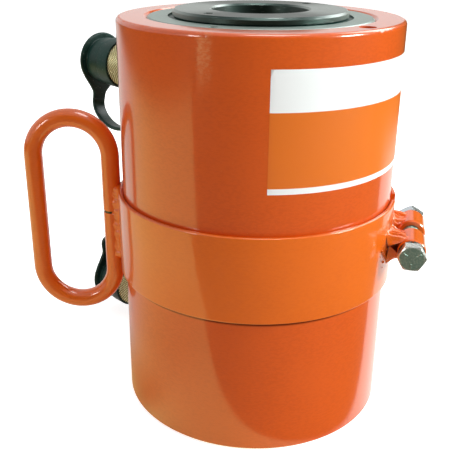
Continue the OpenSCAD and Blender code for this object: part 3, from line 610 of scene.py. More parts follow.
# Fillet of weld: at each station a curve from the first foot to the second, which sags to the corner between;
# its sag has crescent ripples and slow lumps, and at both ends the section shrinks to the hidden root
def fillet(run, firstFoot, secondFoot, corner, root, phase, look):
    length = run[-1] - run[0]
    run = run - run[0]
    share = np.linspace(0, 1, weld["curveSteps"])[None, :]
    crescents = run[:, None] + weld["crescent"] * np.sin(np.pi * share)
    swell = 1 - weld["swell"] + weld["swell"] * np.sin(weld["swellRate"] * run + phase)
    ripple = np.cos(fullTurn * crescents / weld["ripple"] + phase) * swell[:, None]
    lumps = sum(np.sin(rate * run[:, None] + twist * share + shift * phase)
                for rate, twist, shift in weld["lumps"])
    fill = weld["fill"] + look["rippleDepth"] * ripple + look["lumpDepth"] * lumps
    middle = (firstFoot + secondFoot) / 2
    bend = corner[:, None] + (middle - corner)[:, None] * fill[..., None]
    share = share[..., None]
    curve = (1 - share) ** 2 * firstFoot[:, None] + 2 * share * (1 - share) * bend
    curve = curve + share ** 2 * secondFoot[:, None]
    section = np.concatenate([root[:, None], curve], axis=1)
    toEnd = np.clip(np.minimum(run, length - run) / look["endRun"], 0, 1)
    size = np.sqrt(1 - (1 - toEnd) ** 2 + weld["endSize"])[:, None, None]
    return root[:, None] + (section - root[:, None]) * size


def stationsOf(start, end):
    return np.linspace(start, end, int(abs(end - start) / weld["step"]))


# Sum of sines along a run, each with its size, its rate and its share of the phase
def wavesOf(run, phase, waves):
    return sum(size * np.sin(rate * run + share * phase) for size, rate, share in waves)


lugs = {
    "splitAngle": band["splitAngle"], "axis": 93.605, "radius": 8.0, "near": 5.5, "far": 24.5,
    "height": np.mean(boxOf("front_clamp_lug"), axis=0)[2],
    "weldHigh": 10.6, "weldLow": 3.4, "weldTurn": 104.0, "weldInset": 0.6, "sink": 0.5, "openRun": 11.0,
    "lowInset": 3.4, "cornerOut": 2.4, "cornerRise": 1.2, "rootOut": 2.0, "rootDrop": 0.3, "sidePhase": 1.3,
    "levelPhase": 0.7, "waves": [(0.5, 0.8, 1), (0.3, 2.1, 2)], "rippleDepth": 0.46, "lumpDepth": 0.30,
    "endRun": 3.6,
}
clampTurn = np.radians(lugs["splitAngle"])
clampOut = np.array([np.cos(clampTurn), np.sin(clampTurn), 0])
clampAlong = np.array([-np.sin(clampTurn), np.cos(clampTurn), 0])


def atClamp(reach, along, height):
    return clampOut * reach + clampAlong * along + upward * height


# Four fillets that join the barrel lugs to the band, above and below; the first foot follows the band's
# curve, and at the front lug the roots climb to the end, where the lower fillet stops short at a small hole
def makeLugWelds():
    skins = []
    turn = np.radians(lugs["weldTurn"])
    for side in (-1, 1):
        for level in (-1, 1):
            phase = lugs["sidePhase"] * side + lugs["levelPhase"] * level
            inset = lugs["lowInset"] if side < 0 and level < 0 else lugs["weldInset"]
            run = stationsOf(lugs["near"] + lugs["weldInset"], lugs["far"] - inset)
            bandFace = np.sqrt(bandRadius ** 2 - run ** 2) - lugs["sink"]
            high = level * (lugs["weldHigh"] + wavesOf(run, phase, lugs["waves"]))
            even = np.ones_like(run)
            firstFoot = np.stack([bandFace, high], 1)
            secondFoot = np.stack([even * (lugs["axis"] + lugs["radius"] * np.cos(turn)),
                                   even * level * (lugs["radius"] * np.sin(turn) - lugs["sink"])], 1)
            opening = np.clip((run - lugs["far"]) / lugs["openRun"] + 1, 0, 1) ** 2
            low = lugs["weldLow"] * opening * (side < 0) - lugs["rootDrop"] * level
            rise = level * (lugs["weldLow"] + lugs["cornerRise"])
            corner = np.stack([bandFace + lugs["cornerOut"], even * rise], 1)
            root = np.stack([bandFace + lugs["rootOut"], even * low], 1)
            section = fillet(run, firstFoot, secondFoot, corner, root, phase, lugs)
            points = (clampOut * section[..., :1] + clampAlong * (side * run)[:, None, None]
                      + upward * (lugs["height"] + section[..., 1:]))
            skins.append(skin(closeEnds(points)))
    addPiece("lug_weld_beads", skins, beadPaint, "cylinder", ("lug_welds",), sharp=60)


makeLugWelds()

spatter = {
    "count": 22, "seed": 11, "along": (17.0, 33.0), "nearPower": 1.6, "height": (-11.0, 11.0),
    "radius": (0.35, 1.0), "sizePower": 2, "steps": 9, "around": 16,
}


# Beads of spatter on the band by the front lug: small balls sunk to half, more of them near the weld
def makeSpatter():
    seeded = np.random.default_rng(spatter["seed"])
    share = np.linspace(0, np.pi, spatter["steps"])[:, None]
    skins = []
    for near, high, size in seeded.random((spatter["count"], 3)):
        along = -np.interp(near ** spatter["nearPower"], (0, 1), spatter["along"])
        radius = np.interp(size ** spatter["sizePower"], (0, 1), spatter["radius"])
        height = lugs["height"] + np.interp(high, (0, 1), spatter["height"])
        centre = atClamp(np.sqrt(bandRadius ** 2 - along ** 2), along, height)
        spot = spotAt(centre, centre * (1, 1, 0) / bandRadius, upward)
        stations, radii = -radius * np.cos(share), radius * np.sin(share)
        skins.append(skin(revolve(stations, radii, spot, columnsOf(spatter["around"]))))
    addPiece("weld_spatter", skins, clampPaint, "cylinder", sharp=60)


makeSpatter()

handleWeld = {
    "bandFoot": 8.2, "rodTurn": 80.0, "inset": 0.6, "sink": 0.4, "rootGap": 1.2, "cornerOut": 0.6,
    "cornerShare": 0.75, "phase": 2.1, "waves": [(0.5, 0.43, 1), (0.25, 1.3, 2)], "lean": [(0.12, 0.9, 3)],
    "rippleDepth": 0.07, "lumpDepth": 0.15, "endRun": 2.2,
}


# Two fillets along the rod where it lies on the band, from the band's face to the rod's front and rear sides
def makeHandleWelds():
    skins = []
    turn = np.radians(handleWeld["rodTurn"])
    run = stationsOf(bandLow[2] + handleWeld["inset"], bandHigh[2] - handleWeld["inset"])
    for side in (-1, 1):
        phase = handleWeld["phase"] * side
        foot = handleWeld["bandFoot"] + wavesOf(run, phase, handleWeld["waves"])
        lean = turn + wavesOf(run, phase, handleWeld["lean"])
        firstFoot = np.stack([np.sqrt(bandRadius ** 2 - foot ** 2) - handleWeld["sink"], foot], 1)
        rod = handle["rodRadius"] - handleWeld["sink"]
        secondFoot = np.stack([handle["innerLeg"] + rod * np.cos(lean), rod * np.sin(lean)], 1)
        even = np.ones_like(run)
        corner = np.stack([even * (bandRadius + handleWeld["cornerOut"]),
                           even * handle["rodRadius"] * handleWeld["cornerShare"]], 1)
        root = np.stack([even * bandRadius, even * handleWeld["rootGap"]], 1)
        section = fillet(run, firstFoot, secondFoot, corner, root, phase, handleWeld)
        height = np.broadcast_to(run[:, None], section.shape[:2])
        points = np.stack([-section[..., 0], side * section[..., 1], height], -1)
        skins.append(skin(closeEnds(points)))
    addPiece("handle_weld_beads", skins, beadPaint, "cylinder", ("handle_welds",), sharp=60)


makeHandleWelds()
print("clamp and handle made")

hexagon = {"corner": 0.572, "past": 0.58, "chamfer": 30.0, "chamferRows": 10}
bolt = {
    "acrossFlats": 14.3, "diameter": 9.5, "headFrom": -32.7, "headTo": -26.7, "seatEdge": 0.4, "end": 36.8,
    "point": 1.2, "pitch": 1.5875, "perPitch": 8, "threadDepth": 0.86, "threadFrom": -4.0, "faceRadius": 6.7,
    "faceRows": 34, "markRise": 0.28, "marks": 3, "markHalf": 0.42, "markFrom": 2.9, "markTo": 5.7,
    "markTurn": 0.25, "around": 96, "turn": np.pi / 6, "dull": (0.22, 0.34, 0.28, 1),
    "clear": (0.36, 0.48, 0.41, 1), "edge": (0.70, 0.76, 0.74, 1), "mottled": (0.9, 4.0, 0.35, 0.68, 0.6),
    "mottleShift": 0.5, "mottleRough": 0.1, "mottleDepth": 0.02, "chamferHighlightRange": (-0.2, 0.5), "metal": 0.6,
    "chamferHighlightMetal": 0.3, "rough": 0.40, "chamferHighlightRough": 0.15, "plainRows": 4,
}
nut = {"from": 24.53, "to": 32.8, "faceRadius": 6.8, "bore": 4.78, "lead": 0.7, "turn": 0.0}
boltSpot = spotAt(atClamp(lugs["axis"], 0, lugs["height"]), clampAlong, upward)


# Plated bolt: dull mottled face, and a painted highlight: brighter colour where the distance from the bolt's
# axis passes the face's edge
def makeBoltSteel():
    material, graph, place = newMaterial("boltSteel")
    x, y, z = graph.split(place)
    away = x * clampOut[0] + y * clampOut[1] - lugs["axis"]
    radius = graph.length(away, z - lugs["height"])
    mottled = graph.blotches(place, *bolt["mottled"])
    pastFace = radius + mottled * bolt["mottleShift"] - bolt["faceRadius"]
    # Painted highlight: the chamfer ring round the face takes a paler, more metallic colour
    bright = graph.ramp(pastFace, *bolt["chamferHighlightRange"])
    face = graph.mix(mottled, bolt["dull"], bolt["clear"])
    finishShader(graph, {
        "Base Color": graph.mix(bright, face, bolt["edge"]),
        "Metallic": bolt["metal"] + bright * bolt["chamferHighlightMetal"],
        "Roughness": bolt["rough"] - bright * bolt["chamferHighlightRough"] + mottled * bolt["mottleRough"],
        "Normal": graph.bump(mottled * bolt["mottleDepth"]),
    })
    return material


# A hexagon trimmed by cones: radius = the smallest of the hexagon's, the row's own and the blunted corner's
def hexRows(rows, turn):
    angles, flats = columnsOf(bolt["around"]), bolt["acrossFlats"]
    radii = np.minimum(hexRadius(angles, flats, turn), rows[:, 1:])
    return revolve(rows[:, :1], np.minimum(radii, flats * hexagon["corner"]), boltSpot, angles)


# Rows of a chamfer cone from a face's edge out past the corners
def chamferRows(station, way, faceRadius):
    radius = np.linspace(faceRadius, bolt["acrossFlats"] * hexagon["past"], hexagon["chamferRows"])
    slope = way * np.tan(np.radians(hexagon["chamfer"]))
    return np.stack([station + slope * (radius - faceRadius), radius], 1)


# Hexagon bolt: head with chamfer and three plain raised bars, round shank, thread cut by a helix
def makeBolt():
    flats, top, seat, half = bolt["acrossFlats"], bolt["headFrom"], bolt["headTo"], bolt["diameter"] / 2
    angles = columnsOf(bolt["around"])
    faceRadii = np.linspace(0, bolt["faceRadius"], bolt["faceRows"])[:, None]
    fromBar = np.abs((angles * bolt["marks"] / fullTurn + bolt["markTurn"]) % 1 - 0.5)
    bar = fromBar * fullTurn / bolt["marks"] * faceRadii
    raised = (bar < bolt["markHalf"]) & (faceRadii > bolt["markFrom"]) & (faceRadii < bolt["markTo"])
    face = revolve(top - bolt["markRise"] * raised, faceRadii, boltSpot, angles)
    rows = [(seat - bolt["seatEdge"], flats), (seat, flats), (seat, half)]
    sides = hexRows(np.concatenate([chamferRows(top, 1, bolt["faceRadius"]), rows]), bolt["turn"])
    end, threadFrom, point = bolt["end"], bolt["threadFrom"], bolt["point"]
    plain = np.linspace(seat, threadFrom, bolt["plainRows"])[:-1]
    threaded = np.arange(threadFrom, end, bolt["pitch"] / bolt["perPitch"])
    stations = np.concatenate([plain, threaded, [end]])[:, None]
    cutIn = np.clip((stations - threadFrom) / bolt["pitch"], 0, 1)
    depth = bolt["threadDepth"] * zigzag(stations / bolt["pitch"] - angles / fullTurn) * cutIn
    taper = point * (1 - np.clip((end - stations) / point, 0, 1))
    shank = revolve(stations, half - np.maximum(depth, taper), boltSpot, angles)
    tip = revolve(np.full((1, 1), end), np.zeros((1, bolt["around"])), boltSpot, angles)
    whole = skin(np.concatenate([face, sides, shank, tip]))
    addPiece("clamp_hex_bolt", [whole], makeBoltSteel(), "cylinder", ("clamp_bolt",), sharp=28)


makeBolt()


# Hexagon nut: both faces chamfered, a bore with lead-in cones
def makeNut():
    start, end, bore, lead, face = nut["from"], nut["to"], nut["bore"], nut["lead"], nut["faceRadius"]
    rows = np.concatenate([
        [(start + lead, bore), (start, bore + lead)], chamferRows(start, 1, face),
        chamferRows(end, -1, face)[::-1], [(end, bore + lead), (end - lead, bore)],
    ])
    whole = skin(hexRows(rows, nut["turn"]), True)
    addPiece("clamp_hex_nut", [whole], metals["nutZinc"], "cylinder", ("clamp_nut",), sharp=28)


makeNut()

washer = {
    "inner": 4.95, "outer": 7.5, "low": -26.67, "high": -24.53, "innerRound": 0.25, "outerRound": 0.3,
    "gapAngle": 8.0, "kick": 0.12, "kickPower": 9, "thinner": 0.93, "steps": 90, "arcSteps": 4,
}


# Split spring washer: a rounded square section carried once round the bolt, its ends a little out of line
def makeWasher():
    inner, outer, low, high = washer["inner"], washer["outer"], washer["low"], washer["high"]
    soft, edge, steps = washer["innerRound"], washer["outerRound"], washer["steps"]
    corners = [(inner, low, soft), (outer, low, edge), (outer, high, edge), (inner, high, soft)]
    section = rounded(corners, washer["arcSteps"])
    gap = np.radians(washer["gapAngle"]) / 2
    angles = np.pi / 2 + np.linspace(gap, fullTurn - gap, steps)[:, None]
    lean = washer["kick"] * (np.linspace(-1, 1, steps)[:, None]) ** washer["kickPower"]
    middle = (low + high) / 2
    stations = middle + (section[None, :, 1] - middle) * washer["thinner"] + lean
    points = closeEnds(revolve(stations, section[None, :, 0], boltSpot, angles))
    addPiece("spring_washer", [skin(points)], washerBlack, "cylinder", ("clamp_washer",))


makeWasher()
print("bolt, nut and washer made")

coupler = {
    "neck": 97.675, "shell": 122.675, "nose": 143.875, "shellRadius": 15.0, "noseRadius": 12.6, "edge": 1.0,
    "stubRadius": 8.53, "chamberFrom": 106.675, "chamberRadius": 6.5, "coneFrom": 122.275,
    "throatFrom": 125.875, "throatRadius": 2.9, "socketFrom": 128.375, "socketRadius": 6.5, "neckGap": 0.2,
    "teeth": 46, "toothDepth": 0.8, "toothFlat": 0.8, "perTooth": 8, "edgeFade": 0.6, "sleeveLap": 1.5,
    "rimStep": 0.3, "threadPitch": 1.6, "threadDepth": 0.7, "threadLap": 0.5, "threadLead": 1.5,
    "perPitch": 8, "noseColumns": 96, "plating": (0.86, 0.80, 0.48, 1), "faded": (0.68, 0.68, 0.42, 1),
    "grooveShade": (0.14, 0.13, 0.05, 1), "cloudScale": 0.3, "cloudRough": 0.1, "crestSoft": 0.15, "metal": 0.55,
    "rough": 0.30, "grooveRough": 0.2,
}


def portSpot(level):
    return spotAt((0, 0, portHeights[level]), outward, upward)


# Yellow plating painted darker as shade where the distance from the coupler's axis is small, so in the
# knurl's grooves
def makeKnurlZinc(level):
    material, graph, place = newMaterial(level + "KnurlZinc")
    x, y, z = graph.split(place)
    radius = graph.length(x * outward[1] - y * outward[0], z - portHeights[level])
    cloudy = graph.noise(place, coupler["cloudScale"], detail=3.0)
    top = coupler["shellRadius"]
    # Painted shade: the plating darkens towards the bottom of the grooves
    crest = graph.ramp(radius, top - coupler["toothDepth"], top - coupler["crestSoft"])
    plating = graph.mix(cloudy, coupler["plating"], coupler["faded"])
    finishShader(graph, {
        "Base Color": graph.mix(crest, coupler["grooveShade"], plating), "Metallic": coupler["metal"],
        "Roughness": coupler["rough"] + cloudy * coupler["cloudRough"] + (1.0 - crest) * coupler["grooveRough"],
    })
    return material


# Diamond knurl: two crossed sets of helical grooves, the lower of the two waves at each point; plain rolled
# edges, a threaded nose and the stepped hollow inside
def makeShell(level):
    spot, size = portSpot(level), coupler
    neck, shell, nose, edge = size["neck"], size["shell"], size["nose"], size["edge"]
    shellRadius, noseRadius, socketRadius = size["shellRadius"], size["noseRadius"], size["socketRadius"]
    columns = size["teeth"] * size["perTooth"]
    angles = columnsOf(columns)
    pitch = fullTurn * shellRadius / size["teeth"]
    start, end = neck + edge, shell - edge
    stations = np.arange(start, end, pitch / size["perTooth"])[:, None]
    turnShare, along = angles * size["teeth"] / fullTurn, (stations - start) / pitch
    peak = np.minimum(zigzag(turnShare + along), zigzag(turnShare - along))
    fade = np.clip(np.minimum(stations - start, end - stations) / size["edgeFade"], 0, 1)
    knurl = shellRadius - size["toothDepth"] * (1 - np.minimum(peak / size["toothFlat"], 1) * fade)
    inner = np.full((1, columns), noseRadius - size["sleeveLap"])
    rim = np.full((1, columns), shellRadius - edge - size["rimStep"])
    rows = [(neck, inner), (neck, rim), (stations, knurl), (shell, rim), (shell, inner)]
    sleeve = np.concatenate([revolve(station, radius, spot, angles) for station, radius in rows])
    turns = columnsOf(size["noseColumns"])
    threadFrom, lead = shell - size["threadLap"], size["threadLead"]
    thread = np.arange(threadFrom, nose - edge, size["threadPitch"] / size["perPitch"])[:, None]
    depth = size["threadDepth"] * np.clip((thread - shell - lead) / lead, 0, 1)
    threadRadius = noseRadius - depth * zigzag(thread / size["threadPitch"] - turns / fullTurn)
    back = neck + size["neckGap"]
    hollow = np.array([
        (nose, noseRadius - edge), (nose, socketRadius + edge), (nose - edge, socketRadius),
        (size["socketFrom"], socketRadius), (size["socketFrom"], size["throatRadius"]),
        (size["throatFrom"], size["throatRadius"]), (size["coneFrom"], size["chamberRadius"]),
        (size["chamberFrom"], size["chamberRadius"]), (size["chamberFrom"], size["stubRadius"]),
        (back, size["stubRadius"]), (back, noseRadius), (threadFrom, noseRadius),
    ])
    core = np.concatenate([revolve(thread, threadRadius, spot, turns),
                           revolve(hollow[:, :1], hollow[:, 1:], spot, turns)])
    addPiece(level + "_knurled_shell", [skin(sleeve, True), skin(core, True)], makeKnurlZinc(level),
             "cylinder", (level + "_coupler_shell",), sharp=14)


for level in portHeights:
    makeShell(level)

spring = {"wire": 0.5, "inset": 1.1, "gap": 0.05, "turns": 5, "perTurn": 28, "sides": 10, "lastCoil": 1.5}


# Round wire carried along a helix from the chamber's floor to the ball; its far end follows the ball
def makeSpring(level):
    origin, along, across, up = portSpot(level)
    ballLow, ballHigh = boxOf(level + "_valve_ball")
    ballRadius, ballStation = (ballHigh[2] - ballLow[2]) / 2, (ballLow + ballHigh) @ along / 2
    wire, coil = spring["wire"], ballRadius - spring["inset"]
    start = coupler["chamberFrom"] + wire
    end = ballStation - np.sqrt((ballRadius + wire) ** 2 - coil ** 2) - spring["gap"]
    share = np.linspace(0, 1, spring["turns"] * spring["perTurn"] + 1)[:, None]
    turn = share * spring["turns"] * fullTurn
    away = np.cos(turn) * across + np.sin(turn) * up
    path = origin + along * (start + share * (end - start)) + away * coil
    points = sweep(path, away, np.tile(along, (len(path), 1)), wire * circle(spring["sides"]))
    piece = addPiece(level + "_coil_spring", [skin(closeEnds(points))], metals["brightSteel"],
                     None, (level + "_valve_spring",))
    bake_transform(piece)


for level in portHeights:
    makeSpring(level)
print("couplers made")

cap = {
    "mouth": 120.175, "floor": 144.075, "end": 146.575, "mouthRadius": 16.6, "skirtTaper": 0.3,
    "neckRadius": 15.4, "discRadius": 18.4, "holeRadius": 12.9, "shellHole": 15.3, "shoulder": 122.975,
    "stepFrom": 130.6, "stepTo": 132.0, "groove": 140.6, "grooveRun": 0.8, "grooveEnd": 0.2,
    "grooveRadius": 14.3, "rounds": (0, 0.6, 0.3, 0.3, 0.25, 0.5, 0.7, 0.7, 0.6, 0.5, 0.8, 1.2, 1.2, 0),
    "tabEnd": 26.9, "narrowAt": 22.3, "tabSlope": 0.9, "tabBlend": 1.6, "tabSteps": 40, "strapWidth": 9.5,
    "strapThick": 2.5, "strapRound": 0.8, "lean": 10.0, "columns": 96, "capArc": 7, "strapArc": 5,
}
strap = {
    "ring": 93.675, "ringWidth": 6.0, "ringOuter": 13.5, "ringInner": 9.55, "ringEnd": 12.5,
    "innerRound": 0.4, "outerRound": 1.1, "ringColumns": 72, "drop": {"upper": 45.0, "lower": 44.0},
    "bulge": {"upper": 3.0, "lower": 0.0}, "side": {"upper": -1, "lower": 1}, "turn": 4 / 3, "shoulder": 0.74,
    "steps": 80, "freeFrom": 97.0, "freeTo": 143.0,
}


# The port's spot turned about its axis, so that up points along the leaning strap's line
def leaningSpot(level):
    origin, along, across, up = portSpot(level)
    lean = -strap["side"][level] * np.radians(cap["lean"])
    leaning = np.cos(lean) * up - np.sin(lean) * across
    return origin, along, np.cos(lean) * across + np.sin(lean) * up, leaning


# Half the width of tab and strap: straight sides that run from the disc into the strap's own width
def strapHalfWidth(reach):
    over = (cap["narrowAt"] - reach) * cap["tabSlope"]
    return cap["strapWidth"] / 2 + (over + np.sqrt(over ** 2 + cap["tabBlend"] ** 2)) / 2


# Flat section with round edges, as (across, through), one row for each half width
def strapSections(halves, thick):
    deep = thick / 2
    soft = deep * cap["strapRound"]
    corners = [(-1, -deep, soft), (1, -deep, soft), (1, deep, soft), (-1, deep, soft)]
    row = rounded(corners, cap["strapArc"])
    wide = row[None, :, 0] + np.sign(row[None, :, 0]) * (halves[:, None] - 1)
    return np.stack([wide, np.broadcast_to(row[:, 1], wide.shape)], -1)


# Moulded cap: turned skirt with a lip and a step, a wide end disc, and the tab that narrows to the strap
def makeCap(level):
    size, floor, end, mouth = cap, cap["floor"], cap["end"], cap["mouth"]
    corners = [
        (floor, 0), (floor, size["holeRadius"]), (size["shoulder"], size["holeRadius"]),
        (size["shoulder"], size["shellHole"]), (mouth, size["shellHole"]), (mouth, size["mouthRadius"]),
        (size["stepFrom"], size["mouthRadius"] - size["skirtTaper"]), (size["stepTo"], size["neckRadius"]),
        (size["groove"], size["neckRadius"]), (size["groove"] + size["grooveRun"], size["grooveRadius"]),
        (floor - size["grooveEnd"], size["grooveRadius"]), (floor, size["discRadius"]),
        (end, size["discRadius"]), (end, 0),
    ]
    profile = rounded(np.column_stack([corners, size["rounds"]]), size["capArc"])
    body = revolve(profile[:, :1], profile[:, 1:], portSpot(level), columnsOf(size["columns"]))
    tangent = size["discRadius"] * np.sin(np.arctan(size["tabSlope"]))
    reach = np.linspace(tangent, size["tabEnd"], size["tabSteps"])
    origin, along, across, up = leaningSpot(level)
    path = origin + along * (floor + end) / 2 + up * (strap["side"][level] * reach)[:, None]
    tab = sweep(path, np.tile(across, (len(reach), 1)), np.tile(along, (len(reach), 1)),
                strapSections(strapHalfWidth(reach), size["strapThick"]))
    addPiece(level + "_cap_moulding", [skin(body), skin(closeEnds(tab))], capRubber,
             level + "_cap", (level + "_dust_cap",), sharp=50)


# Cubic curve from the tab's end round to the neck, with a flat round-edged section, and the ring on the neck
def makeStrap(level):
    side, bulge, drop = strap["side"][level], strap["bulge"][level], strap["drop"][level] * strap["turn"]
    origin, along, across, up = leaningSpot(level)
    seat = np.array([(cap["floor"] + cap["end"]) / 2, cap["tabEnd"]])
    second = np.array([seat[0] + bulge, drop * strap["shoulder"]])
    third, last = np.array([strap["ring"], drop]), np.array([strap["ring"], strap["ringEnd"]])
    share = np.linspace(0, 1, strap["steps"])[:, None]
    rest = 1 - share
    curve = rest ** 3 * seat + 3 * rest ** 2 * share * second
    curve = curve + 3 * rest * share ** 2 * third + share ** 3 * last
    curve[:, 1] *= side
    run, ahead = runOf(curve)
    path = origin + along * curve[:, :1] + up * curve[:, 1:]
    through = -along * ahead[:, 1:] + up * ahead[:, :1]
    strip = sweep(path, np.tile(across, (len(path), 1)), through,
                  strapSections(strapHalfWidth(cap["tabEnd"] + run), cap["strapThick"]))
    low, high = strap["ring"] - strap["ringWidth"] / 2, strap["ring"] + strap["ringWidth"] / 2
    inner, outer = strap["ringInner"], strap["ringOuter"]
    fine, soft = strap["innerRound"], strap["outerRound"]
    section = rounded([(low, inner, fine), (low, outer, soft), (high, outer, soft), (high, inner, fine)])
    ring = revolve(section[:, :1], section[:, 1:], portSpot(level), columnsOf(strap["ringColumns"]))
    piece = addPiece(level + "_strap_moulding", [skin(closeEnds(strip)), skin(ring, True)], capRubber,
                     None, (level + "_cap_strap",), sharp=50)
    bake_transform(piece)


for level in portHeights:
    makeCap(level)
    makeStrap(level)
print("caps and straps made")


# Studio

view = {
    "eye": (0.0, -0.42002, 0.27616), "lens": 58.80, "sensor": 36.0, "nearest": 0.01, "down": 0.385,
    "pan": -0.044, "roll": 0.009,
}


# Camera from its angles: ahead is panned and tilted down, then right and up are rolled about it
def makeCamera():
    down, pan, roll = view["down"], view["pan"], view["roll"]
    ahead = Vector((np.sin(pan) * np.cos(down), np.cos(pan) * np.cos(down), -np.sin(down)))
    level = Vector((np.cos(pan), -np.sin(pan), 0))
    top = Vector((np.sin(pan) * np.sin(down), np.cos(pan) * np.sin(down), np.cos(down)))
    right = np.cos(roll) * level + np.sin(roll) * top
    over = np.cos(roll) * top - np.sin(roll) * level
    lens = bpy.data.cameras.new("camera")
    lens.sensor_width, lens.lens, lens.clip_start = view["sensor"], view["lens"], view["nearest"]
    camera = bpy.data.objects.new("camera", lens)
    matrix = Matrix((right, over, -ahead)).transposed().to_4x4()
    matrix.translation = Vector(view["eye"])
    camera.matrix_world = matrix
    bpy.context.scene.collection.objects.link(camera)
    bpy.context.scene.camera = camera


makeCamera()

studio = {
    "paperEdge": (-0.57, 0.82), "edgeAt": -0.081, "edgeSoft": 0.0025, "rightWay": (0.8, 0.6),
    "rightEnd": (0.62, 0.74), "leftWay": (-1.0, -0.2), "leftEnd": (0.72, 1.12),
    "paper": (1.24, 1.22, 0.46, 1), "far": (0.86, 0.81, 0.76, 1), "farRight": (1.25, 1.22, 1.15, 1),
    "rightRange": (-0.1, 0.4), "backWay": (0.6, 0.8), "backRange": (-0.6, 0.1), "nearRange": (0.1, 0.5),
    "nearTurn": 0.3, "dark": (0.10, 0.085, 0.03, 1), "shade": (0.42, 0.10, 0.02, 1), "leftShade": 0.42,
    "leftFrom": (0.05, 0.15), "leftTo": (0.12, 0.35), "footShade": 0.70, "footFrom": (0.70, 0.92),
    "footTo": (0.085, 0.14), "strips": [(-132.9, 2.6, 1.0), (-127.4, 1.4, 0.6)], "stripEdge": (1.2, 0.8),
    "stripFrom": (1.12, 1.36), "stripColour": (2.0, 1.8, 0.8, 1), "floorSize": 8.0,
    "floorColour": (0.86, 0.86, 0.86, 1), "floorGlow": (0.80, 0.80, 0.80, 1), "glowRange": (0.1, 0.6),
    "white": (1, 1, 1, 1), "farSky": (0.86, 0.84, 0.82, 1), "skyEdge": (-0.06, 0.02),
    "skyEnd": (0.22, 0.28), "above": (0.9, 0.9, 0.9, 1), "aboveRange": (0.50, 0.85),
    "softbox": (0.62, 0.50, 0.605), "softboxEdge": (0.93, 0.975), "softboxGlow": (6.5, 6.5, 6.5, 1),
    "diffuseSky": (0.130, 0.112, 0.112, 1),
}


# How far a place lies along a way
def alongWay(place, way):
    first, *others = [value * share for value, share in zip(place, way)]
    return sum(others, first)


# Sky: white to the camera and an even soft light; mirrors show it pale behind the paper's edge, dark before
# it, pale above, and with one bright softbox
def makeSky():
    world = bpy.data.worlds.new("studioSky")
    bpy.context.scene.world = world
    world.use_nodes = True
    graph = Graph(world.node_tree)
    x, y, z = graph.split(graph.node("ShaderNodeTexCoord", {}, {}, "Generated"))
    back = graph.ramp(alongWay((x, y), studio["paperEdge"]), *studio["skyEdge"])
    back = back * (1.0 - graph.ramp(x, *studio["skyEnd"]))
    mirror = graph.mix(back, studio["dark"], studio["farSky"])
    mirror = graph.mix(graph.ramp(z, *studio["aboveRange"]), mirror, studio["above"])
    glowing = graph.ramp(alongWay((x, y, z), studio["softbox"]), *studio["softboxEdge"])
    mirror = graph.mix(glowing, mirror, studio["softboxGlow"])
    seen = graph.mix(graph.ray("Is Glossy Ray"), studio["diffuseSky"], mirror)
    direct = graph.math("MAXIMUM", graph.ray("Is Camera Ray"), graph.ray("Is Transmission Ray"))
    seen = graph.mix(direct, seen, studio["white"])
    graph.set(world.node_tree.nodes["Background"].inputs["Color"], seen)


makeSky()


# What mirrors show of the floor: lit paper with an edge, yellowish near the front and white behind, shaded
# by the object at its left and foot, dark before the edge, and two bright strips far off at the left
def mirroredFloor(graph, x, y, distance):
    edge, soft = studio["edgeAt"], studio["edgeSoft"]
    lit = graph.ramp(alongWay((x, y), studio["paperEdge"]), edge - soft, edge + soft)
    lit = lit * (1.0 - graph.ramp(alongWay((x, y), studio["rightWay"]), *studio["rightEnd"]))
    lit = lit * (1.0 - graph.ramp(alongWay((x, y), studio["leftWay"]), *studio["leftEnd"]))
    close = 1.0 - graph.ramp(distance, *studio["nearRange"])
    turned = alongWay((x, y), studio["backWay"]) / distance + close * studio["nearTurn"]
    white = graph.mix(graph.ramp(x / distance, *studio["rightRange"]), studio["far"], studio["farRight"])
    paper = graph.mix(graph.ramp(turned, *studio["backRange"]), studio["paper"], white)
    left = graph.ramp(x * -1.0, *studio["leftFrom"]) * studio["leftShade"]
    left = left * (1.0 - graph.ramp(distance, *studio["leftTo"]))
    foot = graph.ramp(x / distance * -1.0, *studio["footFrom"]) * studio["footShade"]
    foot = foot * (1.0 - graph.ramp(distance, *studio["footTo"]))
    paper = graph.mix(left + (1.0 - left) * foot, paper, studio["shade"])
    far, bright = graph.ramp(distance, *studio["stripFrom"]), 0.0
    for turn, wide, share in studio["strips"]:
        way = np.cos(np.radians(turn)), np.sin(np.radians(turn))
        edges = np.cos(np.radians(wide) * np.array(studio["stripEdge"]))
        bright = bright + graph.ramp(alongWay((x, y), way) / distance, *edges) * far * share
    return graph.mix(bright, graph.mix(lit, studio["dark"], paper), studio["stripColour"])


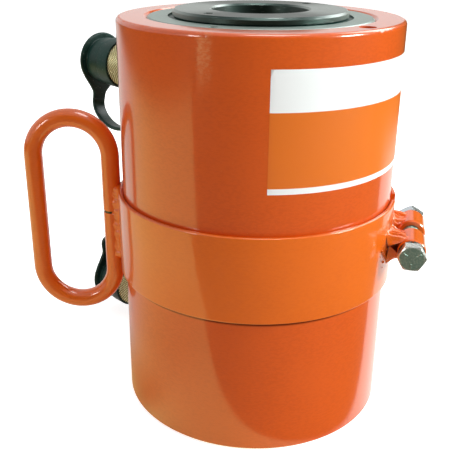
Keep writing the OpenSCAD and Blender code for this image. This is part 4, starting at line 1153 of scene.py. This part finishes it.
# Pale floor that takes the shadow, glows a little to the camera and has its own colours in mirrors
def makeFloor():
    half = studio["floorSize"] / 2
    mesh = bpy.data.meshes.new("floor")
    corners = [(-half, -half, 0), (half, -half, 0), (half, half, 0), (-half, half, 0)]
    mesh.from_pydata(corners, [], [(0, 1, 2, 3)])
    floor = bpy.data.objects.new("floor", mesh)
    bpy.context.scene.collection.objects.link(floor)
    material = bpy.data.materials.new("paperFloor")
    material.use_nodes = True
    graph = Graph(material.node_tree)
    x, y, z = graph.split(graph.node("ShaderNodeTexCoord", {}, {}, "Object"))
    distance = graph.length(x, y)
    mirror = graph.node("ShaderNodeEmission", {}, {"Color": mirroredFloor(graph, x, y, distance)})
    shine = graph.mix(graph.ramp(distance, *studio["glowRange"]), studio["floorGlow"], studio["white"])
    glow = graph.node("ShaderNodeEmission", {}, {"Color": shine})
    paper = graph.node("ShaderNodeBsdfDiffuse", {}, {"Color": studio["floorColour"]})
    glowing = graph.node("ShaderNodeAddShader", {}, {0: paper, 1: glow})
    seen = graph.node("ShaderNodeMixShader", {}, {0: graph.ray("Is Camera Ray"), 1: paper, 2: glowing})
    seen = graph.node("ShaderNodeMixShader", {}, {0: graph.ray("Is Glossy Ray"), 1: seen, 2: mirror})
    graph.set(material.node_tree.nodes["Material Output"].inputs["Surface"], seen)
    mesh.materials.append(material)


makeFloor()

lamps = [
    {"name": "overhead", "at": (0.10, -0.05, 1.30), "size": (0.45, 0.45), "power": 5.0, "mirrored": True},
    {"name": "rightKey", "at": (1.38, -0.38, 0.75), "size": (0.5, 0.5), "power": 26.0, "mirrored": True,
     "colour": (0.91, 1.0, 0.97)},
    {"name": "leftSpot", "at": (-0.80, -0.70, 0.45), "size": (0.16, 0.30), "power": 2.3, "mirrored": True,
     "colour": (1.0, 0.91, 0.88)},
    {"name": "rearLeft", "at": (-1.10, 0.60, 0.45), "size": (0.5, 0.5), "power": 2.4, "mirrored": False},
    {"name": "backFill", "at": (-0.3, 1.3, 0.8), "size": (0.8, 0.8), "power": 4.0, "mirrored": False},
]


# Soft lamps turned to the middle of the cylinder
def makeLamps():
    target = Vector((0, 0, bodyTop * mm / 2))
    for lamp in lamps:
        light = bpy.data.lights.new(lamp["name"], "AREA")
        light.shape, light.energy = "RECTANGLE", lamp["power"]
        light.size, light.size_y = lamp["size"]
        light.color = lamp.get("colour", (1.0, 1.0, 1.0))
        holder = bpy.data.objects.new(lamp["name"], light)
        holder.location = lamp["at"]
        holder.rotation_euler = (target - Vector(lamp["at"])).to_track_quat("-Z", "Y").to_euler()
        holder.visible_glossy = lamp["mirrored"]
        bpy.context.scene.collection.objects.link(holder)


makeLamps()
bpy.context.scene.view_settings.view_transform = "Standard"
print("studio made")
